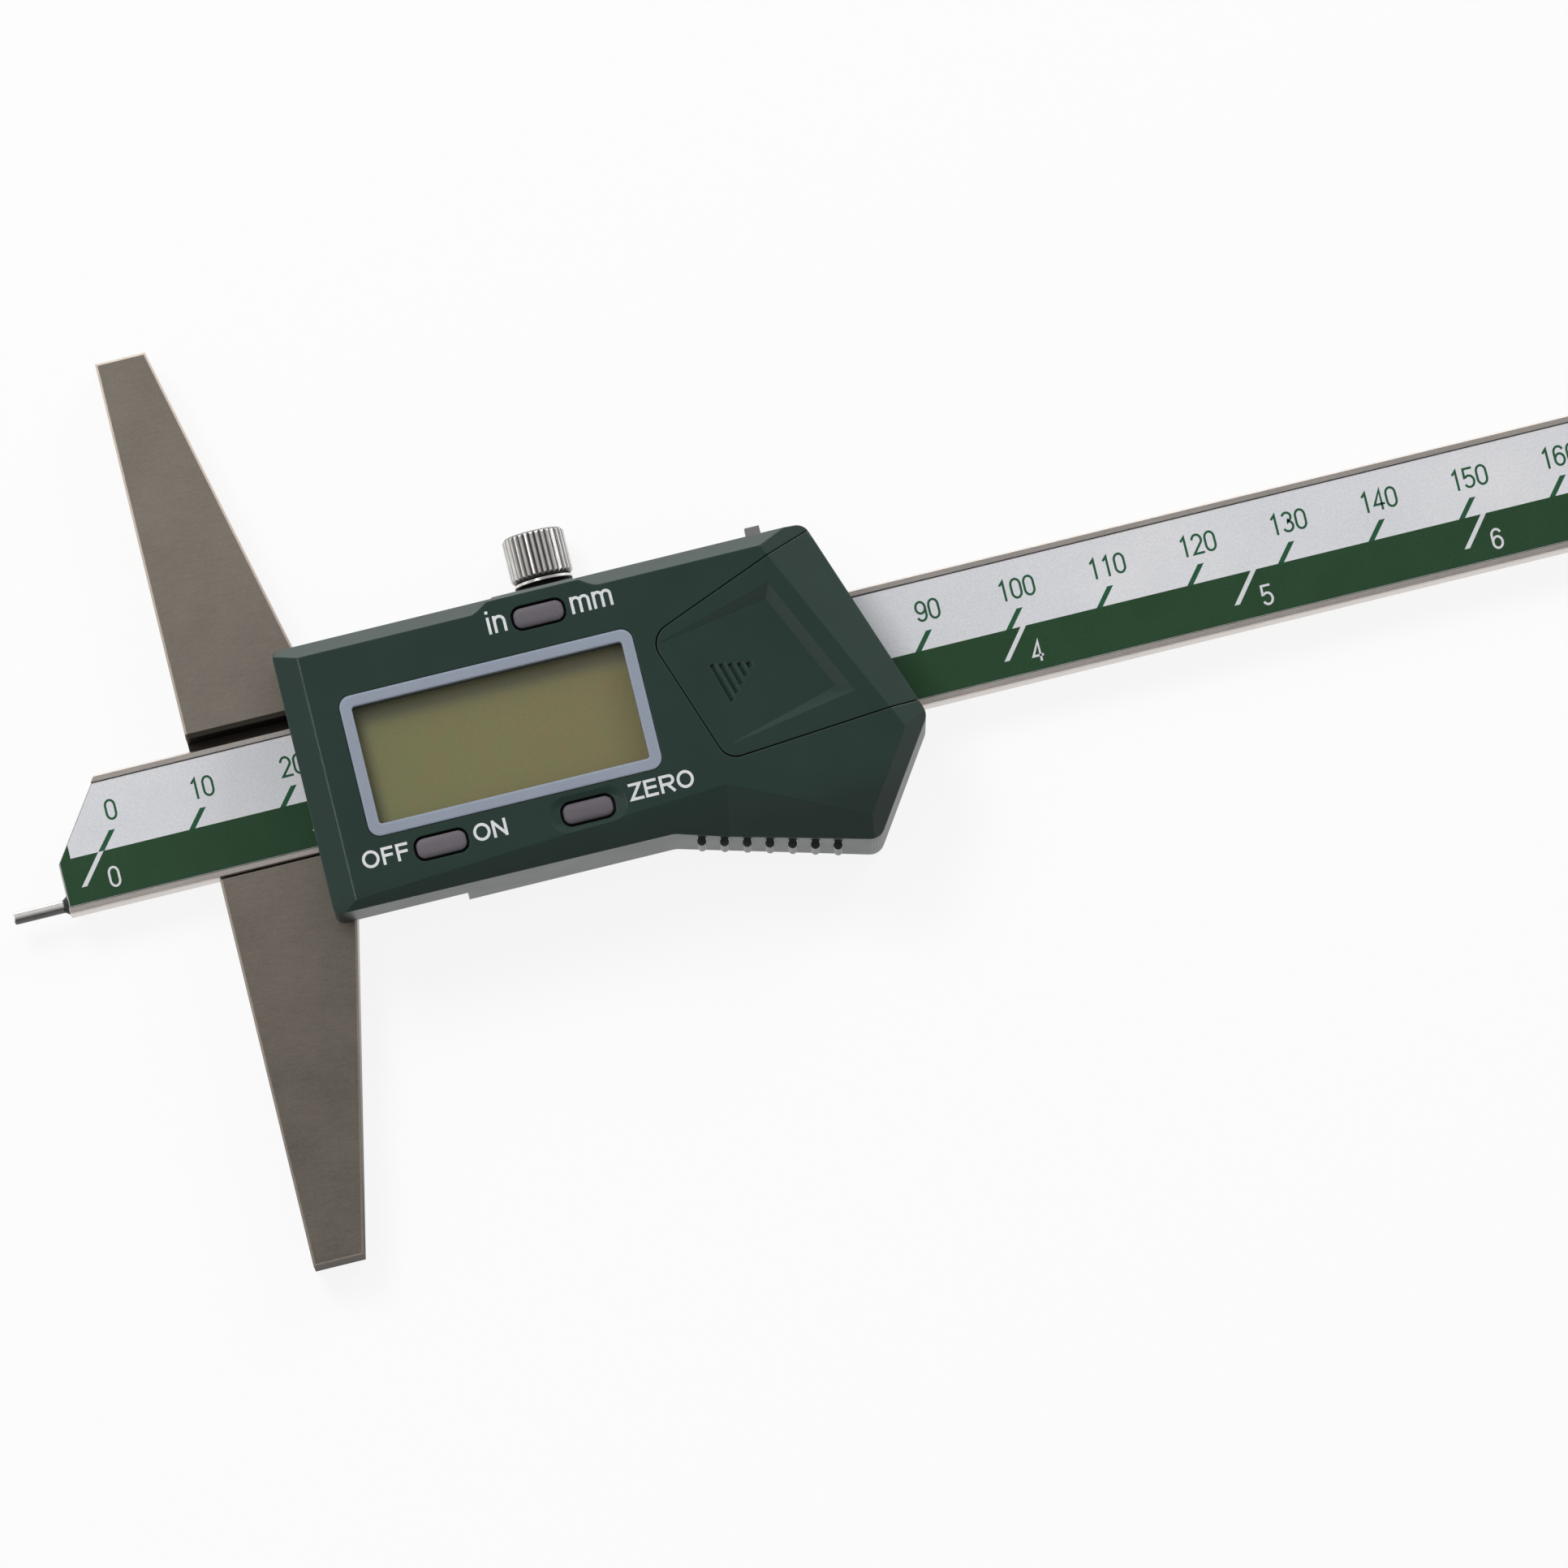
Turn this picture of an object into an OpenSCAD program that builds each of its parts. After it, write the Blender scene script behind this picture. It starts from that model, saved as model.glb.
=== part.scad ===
// Digital depth gauge, 200 mm, with a pin on the end of its beam. Millimetres.
// It lies on its back: +Z is up out of the display, the beam runs along X with its tip towards -X.
// X = 0 is the measuring face of the base, Y = 0 the middle of the beam, Z = 0 the plane it rests on.

/* [Beam] */
// Length of the beam without its pin
beam_len = 280; // [275:5:330]
// Width of the beam
beam_w = 14; // [13:0.5:14.5]
// Thickness of the beam
beam_t = 3.5; // [3.4:0.1:3.7]
// Height of the square end of the tip
tip_flat = 5.6; // [5:0.2:7]
// Angle of the slanted cut of the tip, from square
tip_slant = 35; // [25:1:42]
// Steel left beside the scale on each edge
scale_margin = 0.7; // [0.6:0.05:1]
// Depth of the groove that holds the scale
groove_d = 0.9; // [0.85:0.05:1]
// Thickness of the scale's circuit strip
strip_t = 0.6; // [0.5:0.05:0.65]
// Thickness of the printed scale film
film_t = 0.15; // [0.1:0.05:0.2]
// Plain steel at the far end of the beam
plain_end = 8; // [7:1:12]

/* [Pin] */
// Diameter of the measuring pin
pin_d = 1.4; // [1.2:0.1:1.6]
// Length of pin that stands out
pin_len = 6; // [4:0.5:8]
// Length of pin held in the beam
pin_hold = 8; // [6:1:12]
// Pin axis above the beam's lower edge
pin_edge = 1.2; // [1.1:0.05:1.5]

/* [Pose] */
// Depth that the gauge is set to
reading = 22.4; // [10:0.2:60]

/* [Base] */
// Length of the measuring face
base_len = 100; // [80:5:150]
// Thickness of the base bar
base_t = 6.5; // [6.2:0.1:6.5]
// Width of the base bar at its ends
base_end_w = 5.5; // [4:0.5:8]
// Width of the base bar beside the beam
base_root_w = 15; // [14.5:0.1:15.1]
// Metal behind the beam
web_t = 1.7; // [1.5:0.1:1.8]
// Length of the tongue that the slider is screwed to, from the measuring face
tongue_len = 25.2; // [24.6:0.2:26]

/* [Slider] */
// Top of the slider's two rails
rail_top = 5.6; // [5.5:0.05:5.9]
// Thickness of the gib strip
gib_t = 1.1; // [0.8:0.1:1.2]
// Length of the gib strip
gib_len = 44; // [36:1:46]
// Running clearance of the beam
run_gap = 0.05; // [0.03:0.01:0.08]
// Clearance between the base's slot and the beam's lower edge
slot_gap = 0.35; // [0.2:0.05:0.5]

/* [Housing] */
// Back edge of the housing, from the measuring face
house_x = 11.1; // [10.6:0.1:11.4]
// Upper side of the housing
house_top = 14.1; // [13.9:0.05:14.3]
// Lower side of the housing
house_low = 15.05; // [14.9:0.05:15.2]
// Height of the housing's face
house_h = 16; // [15.9:0.05:16.3]
// Wall thickness
wall = 1.2; // [1:0.05:1.3]
// Underside of the housing where it bridges the base
bridge_z = 6.55; // [6.5:0.05:6.7]
// Drop of the lobe's corner below the lower side
lobe_drop = 5.85; // [5:0.1:6.2]
// Pitch of the grip ribs
rib_pitch = 2.42; // [2.2:0.02:2.6]
// Number of grip ribs
rib_count = 7; // [5:1:7]

/* [Display] */
// Width of the display's frame
bezel_w = 32.05; // [31:0.05:32.4]
// Height of the display's frame
bezel_h = 15.4; // [14.8:0.05:15.6]
// Width of the frame's ring
bezel_ring = 1.25; // [1:0.05:1.4]

/* [Buttons] */
// Width of a button
button_w = 5.4; // [5:0.1:5.8]
// Height of a button
button_h = 2.15; // [1.9:0.05:2.4]
// Gap round a button
button_gap = 0.28; // [0.2:0.01:0.3]
// How far a button goes in
button_travel = 0.5; // [0.3:0.05:0.5]

/* [Lock screw] */
// Diameter of the knurled knob
knob_d = 6.8; // [6.2:0.1:6.8]
// Length of the knurling
knob_len = 5; // [4:0.25:6]
// Grooves of the knurling
knurl_count = 33; // [24:1:36]
// Diameter of the screw's thread
lock_d = 3; // [2.6:0.1:3.2]

/* [Battery] */
// Diameter of the button cell
cell_d = 11.6; // [11:0.1:11.8]
// Height of the button cell
cell_h = 5.4; // [5:0.1:5.4]
// Direction that the battery cover slides in, above +X
cover_dir = 19; // [17:1:21]
// Gap along the parting lines of the cover
part_gap = 0.12; // [0.1:0.01:0.15]

/* [Hidden] */
$fn = 64;
eps = 0.01;
far = 400;

// Levels, from the resting plane up
beam_z = web_t + run_gap;
beam_top = beam_z + beam_t;
beam_mid = beam_z + beam_t / 2;
strip_z = beam_top - groove_d;
film_z = strip_z + strip_t;
board_t = 1;
board_top = rail_top + board_t;

// Beam along X at the reading
beam_x = pin_len - reading;
slant_len = (beam_w - tip_flat) * tan(tip_slant);
strip_w = beam_w - 2 * scale_margin;
strip_gap = 0.07;

// Slot that the beam runs in
slot_low = -beam_w / 2 - run_gap;
slot_high = beam_w / 2 + gib_t + 2 * run_gap;

// Housing outline, counter-clockwise from its lower left corner
lobe_x = 48.2;
lobe_corner = [69.3, -house_low - lobe_drop];
nose = [77.4, -9];
top_right = [69.5, house_top];
HOUSE = [[house_x, -house_low], [lobe_x, -house_low], lobe_corner, nose, top_right, [house_x, house_top]];
HOUSE_R = [0.9, 3, 1.6, 1.4, 1.4, 0.9];
skirt_x = tongue_len + 0.2;
skirt_z = 0.2;
fit_gap = 0.15;
roof_z = house_h - 2.1;
low_roof_z = house_h - 4.5;
roof_step_x = 49.5;

// Facets of the face: crease point, heading of the crease and slope away from it
facet_slope = 31;
left_crease = [[house_x + 2.6, 0], -90, 21];
top_crease = [[0, house_top - 1.5], 180, 49];
rise_crease = [[13.6, 0.95 - house_low], 3.65, facet_slope];
lobe_crease = [[54.9, 3.55 - house_low], -25.7, facet_slope];
right_crease = [[64.9, 11.4], 114.9, 27];
nose_crease = [[75.05, -9.5], 55.8, 50];
shoulder_x = [36.3, 43];
shoulder_ramp = 4;
shoulder_over = 0.2;
shoulder_crease = [[0, house_top - 0.45], 180, 60];

// Display stack
bezel_c = [32.8, -0.33];
bezel_r = 1.25;
window_t = 0.8;
bezel_z = house_h - 1;
window_z = bezel_z - window_t;
ledge_t = 0.7;
panel_t = 2.4;
panel_top = window_z - ledge_t - 0.05;
frame_pad = 0.6;

// Buttons: places, flange and stem
unit_at = [39.73, 11.05];
power_at = [23.9, -10.44];
zero_at = [39.9, -10.55];
button_r = 0.85;
button_proud = 0.35;
flange_t = 0.8;
flange_z = roof_z - flange_t - 0.1;
flange_lip = 0.5;
stem_d = 2;
switch_w = 4.2;
switch_h = 3;
plunger_h = 0.5;
switch_top = board_top + switch_h + plunger_h;
stem_z = switch_top + button_travel + 0.1;
dish_w = button_w + 3;
dish_h = button_h + 1.7;
dish_d = 0.35;
dish_slope = [17, 30];
dish_steps = 12;

// Battery bay; the cover's own frame has its origin at the upper left corner of the cover
cover_at = [50.5, 5.8];
cover_side = 15.6;
flare_top = 2.4;
flare_low = 14.6;
cover_len = 40;
tongue_lip = 0.7;
tongue_t = 0.7;
channel_z = house_h - 3.6;
channel_h = 0.9;
cell_at = [60.5, -0.5];
contact_t = 0.4;
cell_z = board_top + contact_t;
well_d = cell_d + 0.6;
well_wall = 0.8;
recess_wall = [[64.75, 7.4], 295, 35];
recess_top = [[62.3, 7.97], 15.6, 35];
recess_floor = [[53.5, 0], 112, 4];
recess_low = [[70.2, -4.9], 190, 35];
arrow_at = [56.1, 1.35];
arrow_dir = 16;
arrow_count = 5;
arrow_pitch = 0.87;
arrow_w = 0.62;
arrow_len = 4.5;
arrow_taper = [0.48, 0.65];
arrow_d = [0.6, 0.26];
arrow_fall = 0.07;

// Data port
port_x = 55;
port_len = 10.5;
port_z = 7.4;
port_h = 3.1;
port_plate_t = 0.75;
port_over = 0.8;
nub_w = 1.6;
nub_h = 1.4;
block_len = 6;

// Screws
lock_x = 41.2;
knob_y = 16.3;
collar_len = 0.45;
collar_d = knob_d - 0.5;
relief_len = 0.16;
relief_d = knob_d - 1.4;
neck_d = knob_d - 1.1;
neck_gap = 0.3;
pad_d = lock_d - 0.1;
pad_len = 0.8;
pad_gap = 0.15;
GIB_SCREWS = [32.5, 60];
gib_screw_d = 2.4;
BASE_SCREWS = [[17.8, -9.9], [22.8, -9.9], [17.8, 10.2], [22.8, 10.2]];
base_screw_d = 2;
base_head_d = 3.6;
base_head_h = 1;
base_screw_len = 4.6;
seat_gap = 0.1;
HOUSE_SCREWS = [[30, -10.4], [30, 9.9], [56, -10.3], [50.5, 9.9]];
house_screw_d = 1.8;
house_head_d = 3.6;
house_head_h = 1.1;
house_screw_top = 10.4;
boss_d = 3.7;

function unit(v) = v / norm(v);
function left_of(v) = [-v.y, v.x];

// Outline moved inwards by d
function inset(pts, d) = [for (i = [0 : len(pts) - 1])
    let (b = pts[i], n = len(pts),
        n1 = left_of(unit(b - pts[(i + n - 1) % n])), n2 = left_of(unit(pts[(i + 1) % n] - b)))
    b + (n1 + n2) * d / (1 + n1 * n2)];

// Arc of radius r that replaces the corner b between a and c
function corner(a, b, c, r, steps = 6) =
    let (u = unit(a - b), v = unit(c - b), half = acos(u * v) / 2,
        m = b + unit(u + v) * r / sin(half),
        p = b + u * r / tan(half) - m, q = b + v * r / tan(half) - m,
        a0 = atan2(p.y, p.x), turn = atan2(p.x * q.y - p.y * q.x, p * q))
    [for (k = [0 : steps]) m + r * [cos(a0 + turn * k / steps), sin(a0 + turn * k / steps)]];

function rounded(pts, radii) = [for (i = [0 : len(pts) - 1])
    let (n = len(pts)) each corner(pts[(i + n - 1) % n], pts[i], pts[(i + 1) % n], radii[i])];

// Crease a distance c inside the edge from a to b, falling outwards at 45 degrees
function edge_crease(a, b, c) = [a + left_of(unit(b - a)) * c, atan2(b.y - a.y, b.x - a.x), 45];

function box_outline(w, h) = [[-w / 2, -h / 2], [w / 2, -h / 2], [w / 2, h / 2], [-w / 2, h / 2]];

module pill(w, h, r, t) {
    linear_extrude(t) polygon(rounded(box_outline(w, h), [r, r, r, r]));
}

// Half-space above a sloping plane, on the side that it falls to
module above(crease, z = house_h) {
    translate([crease[0].x, crease[0].y, z])
        rotate([0, 0, crease[1]])
            rotate([crease[2], 0, 0])
                translate([-far / 2, -far, 0])
                    cube([far, far, far]);
}

// Straight hole or pin along +Y from y0 to y1
module along_y(x, z, d, y0, y1) {
    translate([x, y1, z]) rotate([90, 0, 0]) cylinder(h = y1 - y0, d = d);
}

// Cross recess of a screw head that faces down
module cross_slot(w, d) {
    for (turn = [0, 90])
        rotate([0, 0, turn]) translate([-w / 2, -w / 6, -eps]) cube([w, w / 3, d + eps]);
}

// Plan of the beam's tip, grown or shrunk by edge along its sides
module beam_plan(x_end, half_w, back) {
    rise = half_w - (tip_flat - beam_w / 2);
    polygon([[back, -half_w], [x_end, -half_w], [x_end, half_w],
        [back + rise * tan(tip_slant), half_w], [back, tip_flat - beam_w / 2]]);
}

module beam() color([0.62, 0.61, 0.58]) translate([beam_x, 0, 0]) difference() {
    translate([0, 0, beam_z]) linear_extrude(beam_t) beam_plan(beam_len, beam_w / 2, 0);
    translate([-eps, -strip_w / 2, strip_z]) cube([beam_len - plain_end + eps, strip_w, groove_d + 1]);
    translate([-1, pin_edge - beam_w / 2, beam_mid]) rotate([0, 90, 0]) cylinder(h = pin_hold + 1, d = pin_d);
    translate([beam_len - plain_end / 2, 0, beam_z - 1]) cylinder(h = beam_t + 2, d = stop_d);
    above([[0, beam_w / 2 - beam_break], 180, 45], beam_top);
    above([[0, beam_break - beam_w / 2], 0, 45], beam_top);
}
beam_break = 0.15;

module scale_strip() color([0.75, 0.72, 0.5]) translate([beam_x, 0, strip_z]) linear_extrude(strip_t)
    beam_plan(beam_len - plain_end - strip_gap, strip_w / 2 - strip_gap, 0.1);

module scale_film() color([0.85, 0.85, 0.87]) translate([beam_x, 0, film_z]) linear_extrude(film_t)
    beam_plan(beam_len - plain_end - strip_gap, strip_w / 2 - strip_gap, 0.1);

// Pin with the small fillet of solder at its root
module tip_pin() color([0.7, 0.7, 0.7])
    translate([beam_x, pin_edge - beam_w / 2, beam_mid]) rotate([0, -90, 0]) {
        translate([0, 0, -pin_hold]) cylinder(h = pin_hold + pin_len - pin_tip, d = pin_d);
        translate([0, 0, pin_len - pin_tip]) cylinder(h = pin_tip, d1 = pin_d, d2 = pin_d - 2 * pin_tip);
        cylinder(h = 0.5, d1 = pin_d + 0.7, d2 = pin_d);
    }
pin_tip = 0.12;

// Screw that keeps the beam from leaving the slider
stop_d = 1.6;
stop_head_d = 3.2;
stop_head_h = 0.9;
module stop_screw() color([0.25, 0.25, 0.27])
    translate([beam_x + beam_len - plain_end / 2, 0, beam_z]) difference() {
        union() {
            cylinder(h = beam_t, d = stop_d);
            translate([0, 0, beam_t]) cylinder(h = stop_head_h, d = stop_head_d);
        }
        translate([0, 0, beam_t + stop_head_h]) mirror([0, 0, 1]) cross_slot(2, 0.5);
    }

// Wedge-ended bar with a slot for the beam and a tongue behind it
module base_bar() color([0.58, 0.56, 0.53]) difference() {
    arms = [[0, -base_len / 2], [base_end_w, -base_len / 2], [base_root_w, slot_low],
        [base_root_w, slot_high], [base_end_w, base_len / 2], [0, base_len / 2]];
    union() {
        difference() {
            linear_extrude(base_t) polygon(arms);
            for (i = [0, 1, 3, 4, 5]) above(edge_crease(arms[i], arms[(i + 1) % 6], edge_break), base_t);
        }
        translate([base_root_w - 2, -tongue_low, 0]) cube([tongue_len - base_root_w + 2, tongue_low + tongue_high, web_t]);
    }
    translate([-1, -beam_w / 2 - slot_gap, web_t])
        cube([base_root_w + 2, beam_w / 2 + slot_gap + slot_high, base_t]);
    for (p = BASE_SCREWS) translate(p) {
        translate([0, 0, -1]) cylinder(h = web_t + 2, d = base_screw_d + 0.2);
        translate([0, 0, -eps]) cylinder(h = base_head_h + eps, d1 = base_head_d + seat_gap, d2 = base_screw_d + seat_gap);
    }
}
tongue_low = 12.2;
tongue_high = 11.9;
edge_break = 0.25;

module base_screws() color([0.35, 0.35, 0.37]) for (p = BASE_SCREWS) translate(p) difference() {
    union() {
        cylinder(h = base_screw_len, d = base_screw_d);
        cylinder(h = base_head_h, d1 = base_head_d, d2 = base_screw_d);
    }
    cross_slot(1.9, 0.5);
}

module slider_plan() {
    polygon(rounded(inset(HOUSE, wall + fit_gap), HOUSE_R));
}

module slider_frame() color([0.5, 0.5, 0.5]) difference() {
    linear_extrude(rail_top) slider_plan();
    translate([-far, -far / 2, -1]) cube([far + base_root_w + 0.2, far, far]);
    translate([-far, -far / 2, -1]) cube([far + tongue_len + 0.1, far, web_t + 1]);
    translate([-far / 2, slot_low, web_t]) cube([far, slot_high - slot_low, far]);
    for (p = BASE_SCREWS) translate([p.x, p.y, 0]) cylinder(h = base_screw_len + 0.2, d = base_screw_d);
    for (p = HOUSE_SCREWS) translate([p.x, p.y, -1]) {
        cylinder(h = far, d = house_screw_d + 0.2);
        cylinder(h = house_head_h + 0.15 + 1, d = house_head_d + 0.2);
    }
    for (x = GIB_SCREWS) along_y(x, beam_mid, gib_screw_d, 0, far);
    along_y(lock_x, beam_mid, lock_d + 0.1, 0, far);
}

module gib_strip() color([0.75, 0.6, 0.3]) translate([lock_x + 8.5 - gib_len / 2, beam_w / 2 + run_gap, web_t + 0.2])
    cube([gib_len, gib_t, beam_t - 0.3]);

module gib_screws() color([0.2, 0.2, 0.22]) for (x = GIB_SCREWS) difference() {
    along_y(x, beam_mid, gib_screw_d, slot_high, house_top - wall - fit_gap - 0.3);
    translate([x - 0.2, house_top - wall - fit_gap - 0.9, beam_mid - 1]) cube([0.4, 1, 2]);
}

// Knurled screw: knob, relief groove, polished collar, neck and thread, turning about Y
module lock_screw() color([0.72, 0.72, 0.7]) {
    difference() {
        along_y(lock_x, beam_mid, knob_d, knob_y, knob_y + knob_len);
        for (k = [0 : knurl_count - 1]) translate([lock_x, 0, beam_mid]) rotate([0, k * 360 / knurl_count, 0])
            translate([knob_d / 2, knob_y - 1, 0]) rotate([0, 45, 0])
                translate([-knurl_cut / 2, 0, -knurl_cut / 2]) cube([knurl_cut, knob_len + 2, knurl_cut]);
        translate([lock_x, knob_y + knob_len, beam_mid]) rotate([90, 0, 0]) knob_edge();
        translate([lock_x, knob_y, beam_mid]) rotate([-90, 0, 0]) knob_edge();
    }
    along_y(lock_x, beam_mid, relief_d, knob_y - relief_len - eps, knob_y + eps);
    along_y(lock_x, beam_mid, collar_d, knob_y - relief_len - collar_len, knob_y - relief_len);
    along_y(lock_x, beam_mid, neck_d, house_top + neck_gap, knob_y - relief_len - collar_len + eps);
    along_y(lock_x, beam_mid, lock_d, pad_y + pad_len, house_top + neck_gap + eps);
}
knurl_cut = 0.36;
knob_chamfer = 0.35;
pad_y = slot_high - run_gap + pad_gap;

// Ring that chamfers one end of the knob
module knob_edge() {
    rotate_extrude() polygon([[knob_d / 2 - knob_chamfer, -eps], [knob_d, -eps], [knob_d, knob_chamfer],
        [knob_d / 2, knob_chamfer]]);
}

module lock_pad() color([0.78, 0.62, 0.3]) along_y(lock_x, beam_mid, pad_d, pad_y, pad_y + pad_len);

// Facetted body of the housing, solid, before anything is cut into it
module house_body(z0) {
    difference() {
        translate([0, 0, z0]) linear_extrude(house_h - z0) polygon(rounded(HOUSE, HOUSE_R));
        above(left_crease);
        intersection() {
            above(rise_crease);
            above(lobe_crease);
        }
        above(right_crease);
        above(nose_crease);
        difference() {
            above(top_crease);
            shoulder(z0);
        }
    }
}

// Raised shoulder above the upper button, with S-shaped ends and a chamfered edge
module shoulder(z0) {
    ramp = [for (k = [0 : 10]) k / 10];
    y0 = top_crease[0].y - eps;
    rise = house_top + shoulder_over - y0;
    difference() {
        translate([0, 0, z0]) linear_extrude(house_h) polygon([
            for (t = ramp) [shoulder_x[0] - shoulder_ramp * (1 - t), y0 + rise * (1 - cos(180 * t)) / 2],
            for (t = ramp) [shoulder_x[1] + shoulder_ramp * t, y0 + rise * (1 + cos(180 * t)) / 2]]);
        above(shoulder_crease);
    }
}

module house_cavity() {
    difference() {
        translate([0, 0, -1]) linear_extrude(roof_z + 1) polygon(rounded(inset(HOUSE, wall), HOUSE_R));
        translate([roof_step_x, -far / 2, low_roof_z]) cube([far, far, far]);
    }
}

// Wedge of the battery cover in plan, grown by g past its parting lines
module cover_plan(g) {
    run = cover_len;
    polygon(rounded([[-g, g], [-g, -cover_side - g],
        [run, -cover_side - g - run * tan(flare_low)], [run, g + run * tan(flare_top)]], [2.2, 2, 1, 1]));
}

module cover_frame() {
    translate([cover_at.x, cover_at.y, 0]) rotate([0, 0, cover_dir]) children();
}

// Space of the cover in the housing
module cover_space() cover_frame() {
    translate([0, 0, channel_z + channel_h - eps]) linear_extrude(far) cover_plan(part_gap / 2);
    translate([0, -cover_side - tongue_lip - part_gap, channel_z])
        cube([cover_len, cover_side + 2 * (tongue_lip + part_gap), channel_h]);
}

module grip_ribs() {
    run = lobe_corner - HOUSE[1];
    along = unit(run);
    out = -left_of(along);
    for (k = [0 : rib_count - 1]) translate(HOUSE[1] + along * (2.9 + k * rib_pitch)) {
        translate([out.x * rib_out, out.y * rib_out, rib_z]) cylinder(h = rib_h, d = rib_d);
        translate([0, 0, rib_z]) rotate([0, 0, atan2(along.y, along.x)])
            translate([-rib_root / 2, -rib_out, 0]) cube([rib_root, 2 * rib_out, rib_h]);
    }
}
rib_z = 6.4;
rib_h = 5.4;
rib_d = 0.96;
rib_root = 0.8;
rib_out = 0.42;

module front_housing() color([0.16, 0.23, 0.21]) difference() {
    union() {
        difference() {
            house_body(skirt_z);
            house_cavity();
        }
        translate([bezel_c.x, bezel_c.y, panel_top + 0.05])
            pill(bezel_w + 2 * frame_pad, bezel_h + 2 * frame_pad, bezel_r, roof_z - panel_top);
        for (p = HOUSE_SCREWS) translate([p.x, p.y, board_top])
            cylinder(h = low_roof_z - board_top + 0.5 + (p.x < roof_step_x ? roof_z - low_roof_z : 0), d = boss_d);
        translate([cell_at.x, cell_at.y, cell_z]) cylinder(h = channel_z - cell_z, d = well_d + 2 * well_wall);
        grip_ribs();
        port_rails();
    }
    // display
    translate([bezel_c.x, bezel_c.y, window_z])
        pill(bezel_w + 0.1, bezel_h + 0.1, bezel_r, far);
    translate([bezel_c.x, bezel_c.y, roof_z - 5])
        pill(bezel_w - 2 * bezel_ring, bezel_h - 2 * bezel_ring, bezel_r - 0.9, far);
    // buttons
    for (p = [unit_at, power_at, zero_at]) translate([p.x, p.y, roof_z - 1])
        pill(button_w + 2 * button_gap, button_h + 2 * button_gap, button_r + button_gap, far);
    dish();
    // battery bay
    cover_space();
    translate([cell_at.x, cell_at.y, -1]) cylinder(h = far, d = well_d);
    translate([cell_at.x - well_d / 2 - well_wall - 0.3, cell_at.y - 2.3, 0]) cube([3, 4.6, channel_z - 0.6]);
    // screws
    for (p = HOUSE_SCREWS) translate([p.x, p.y, 0]) cylinder(h = house_screw_top + 0.2, d = house_screw_d);
    along_y(lock_x, beam_mid, lock_d + 0.5, 0, far);
    for (x = GIB_SCREWS) along_y(x, beam_mid, gib_screw_d + 0.3, 0, far);
    // data port window
    translate([port_x, 0, port_z]) cube([port_len, far, port_h]);
    // beam and base
    translate([0, slot_low - 0.3, -1]) cube([far, slot_high - slot_low + 0.6, rail_top + 0.2 + 1]);
    translate([-1, -far / 2, -1]) cube([skirt_x + 1, far, bridge_z + 1]);
}

// Shallow dish round the lower right button: a flat floor and sides that slope up to the face,
// flatter at the two ends
module dish() {
    half = (dish_w - dish_h) / 2;
    intersection() {
        intersection_for(k = [0 : 2 * dish_steps - 1]) {
            a = 90 + 180 * k / dish_steps;
            above([[zero_at.x + half * sign(round(1000 * cos(a))) + cos(a) * dish_h / 2, zero_at.y + sin(a) * dish_h / 2],
                a - 90, dish_slope[0] + (dish_slope[1] - dish_slope[0]) * abs(sin(a))]);
        }
        translate([0, -far / 2, house_h - dish_d]) cube([far, far, far]);
    }
}

// Two ledges that the port's cover runs between
module port_rails() {
    y0 = house_top - wall - port_plate_t - 0.35;
    x0 = port_x - port_travel - port_over - 0.2;
    for (z = [port_z - port_over - 0.6, port_z + port_h + port_over + 0.1])
        translate([x0, y0, z]) cube([port_x + port_len + port_over + 0.2 - x0, house_top - wall - y0 + 0.2, 0.5]);
}
port_travel = 7;

module lcd_bezel() color([0.56, 0.6, 0.66]) translate([bezel_c.x, bezel_c.y, bezel_z]) difference() {
    pill(bezel_w, bezel_h, bezel_r, house_h + 0.1 - bezel_z);
    translate([0, 0, -1]) pill(bezel_w - 2 * bezel_ring, bezel_h - 2 * bezel_ring, bezel_r - 0.9, far);
}

module lcd_window() color([0.8, 0.85, 0.8, 0.4]) translate([bezel_c.x, bezel_c.y, window_z])
    pill(bezel_w, bezel_h, bezel_r, window_t);

module lcd_panel() color([0.45, 0.46, 0.33]) translate([bezel_c.x, bezel_c.y, panel_top - panel_t]) {
    translate([-bezel_w / 2, -bezel_h / 2, 0]) cube([bezel_w, bezel_h, panel_t / 2]);
    translate([-bezel_w / 2, -bezel_h / 2 + 1.2, panel_t / 2]) cube([bezel_w, bezel_h - 2.4, panel_t / 2]);
}

module zebra_strips() color([0.7, 0.7, 0.72]) for (side = [-1, 1])
    translate([bezel_c.x - zebra_len / 2, bezel_c.y + side * (bezel_h / 2 - 1.1) - zebra_w / 2, board_top])
        cube([zebra_len, zebra_w, panel_top - panel_t - board_top]);
zebra_len = bezel_w - 4;
zebra_w = 1.4;

module main_board() color([0.1, 0.35, 0.2]) difference() {
    translate([board_x, -board_low, rail_top]) cube([board_end - board_x, board_low + board_high, board_t]);
    for (p = HOUSE_SCREWS) translate([p.x, p.y, 0]) cylinder(h = far, d = house_screw_d + 0.6);
}
board_x = house_x + wall + 3.1;
board_end = top_right.x - 2.5;
board_low = house_low - wall - 1.65;
board_high = house_top - wall - 1.3;

module chip_blob() color([0.08, 0.08, 0.08]) translate([bezel_c.x, bezel_c.y, board_top]) {
    cylinder(h = 0.6, d = 8);
    translate([0, 0, 0.6]) cylinder(h = 0.7, d1 = 8, d2 = 5);
}

module button_switches() color([0.15, 0.15, 0.15]) for (p = [unit_at, power_at, zero_at])
    translate([p.x, p.y, board_top]) {
        translate([-switch_w / 2, switch_y(p) - switch_w / 2, 0]) cube([switch_w, switch_w, switch_h]);
        translate([0, 0, switch_h - eps]) cylinder(h = plunger_h + eps, d = 1.2);
    }
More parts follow.
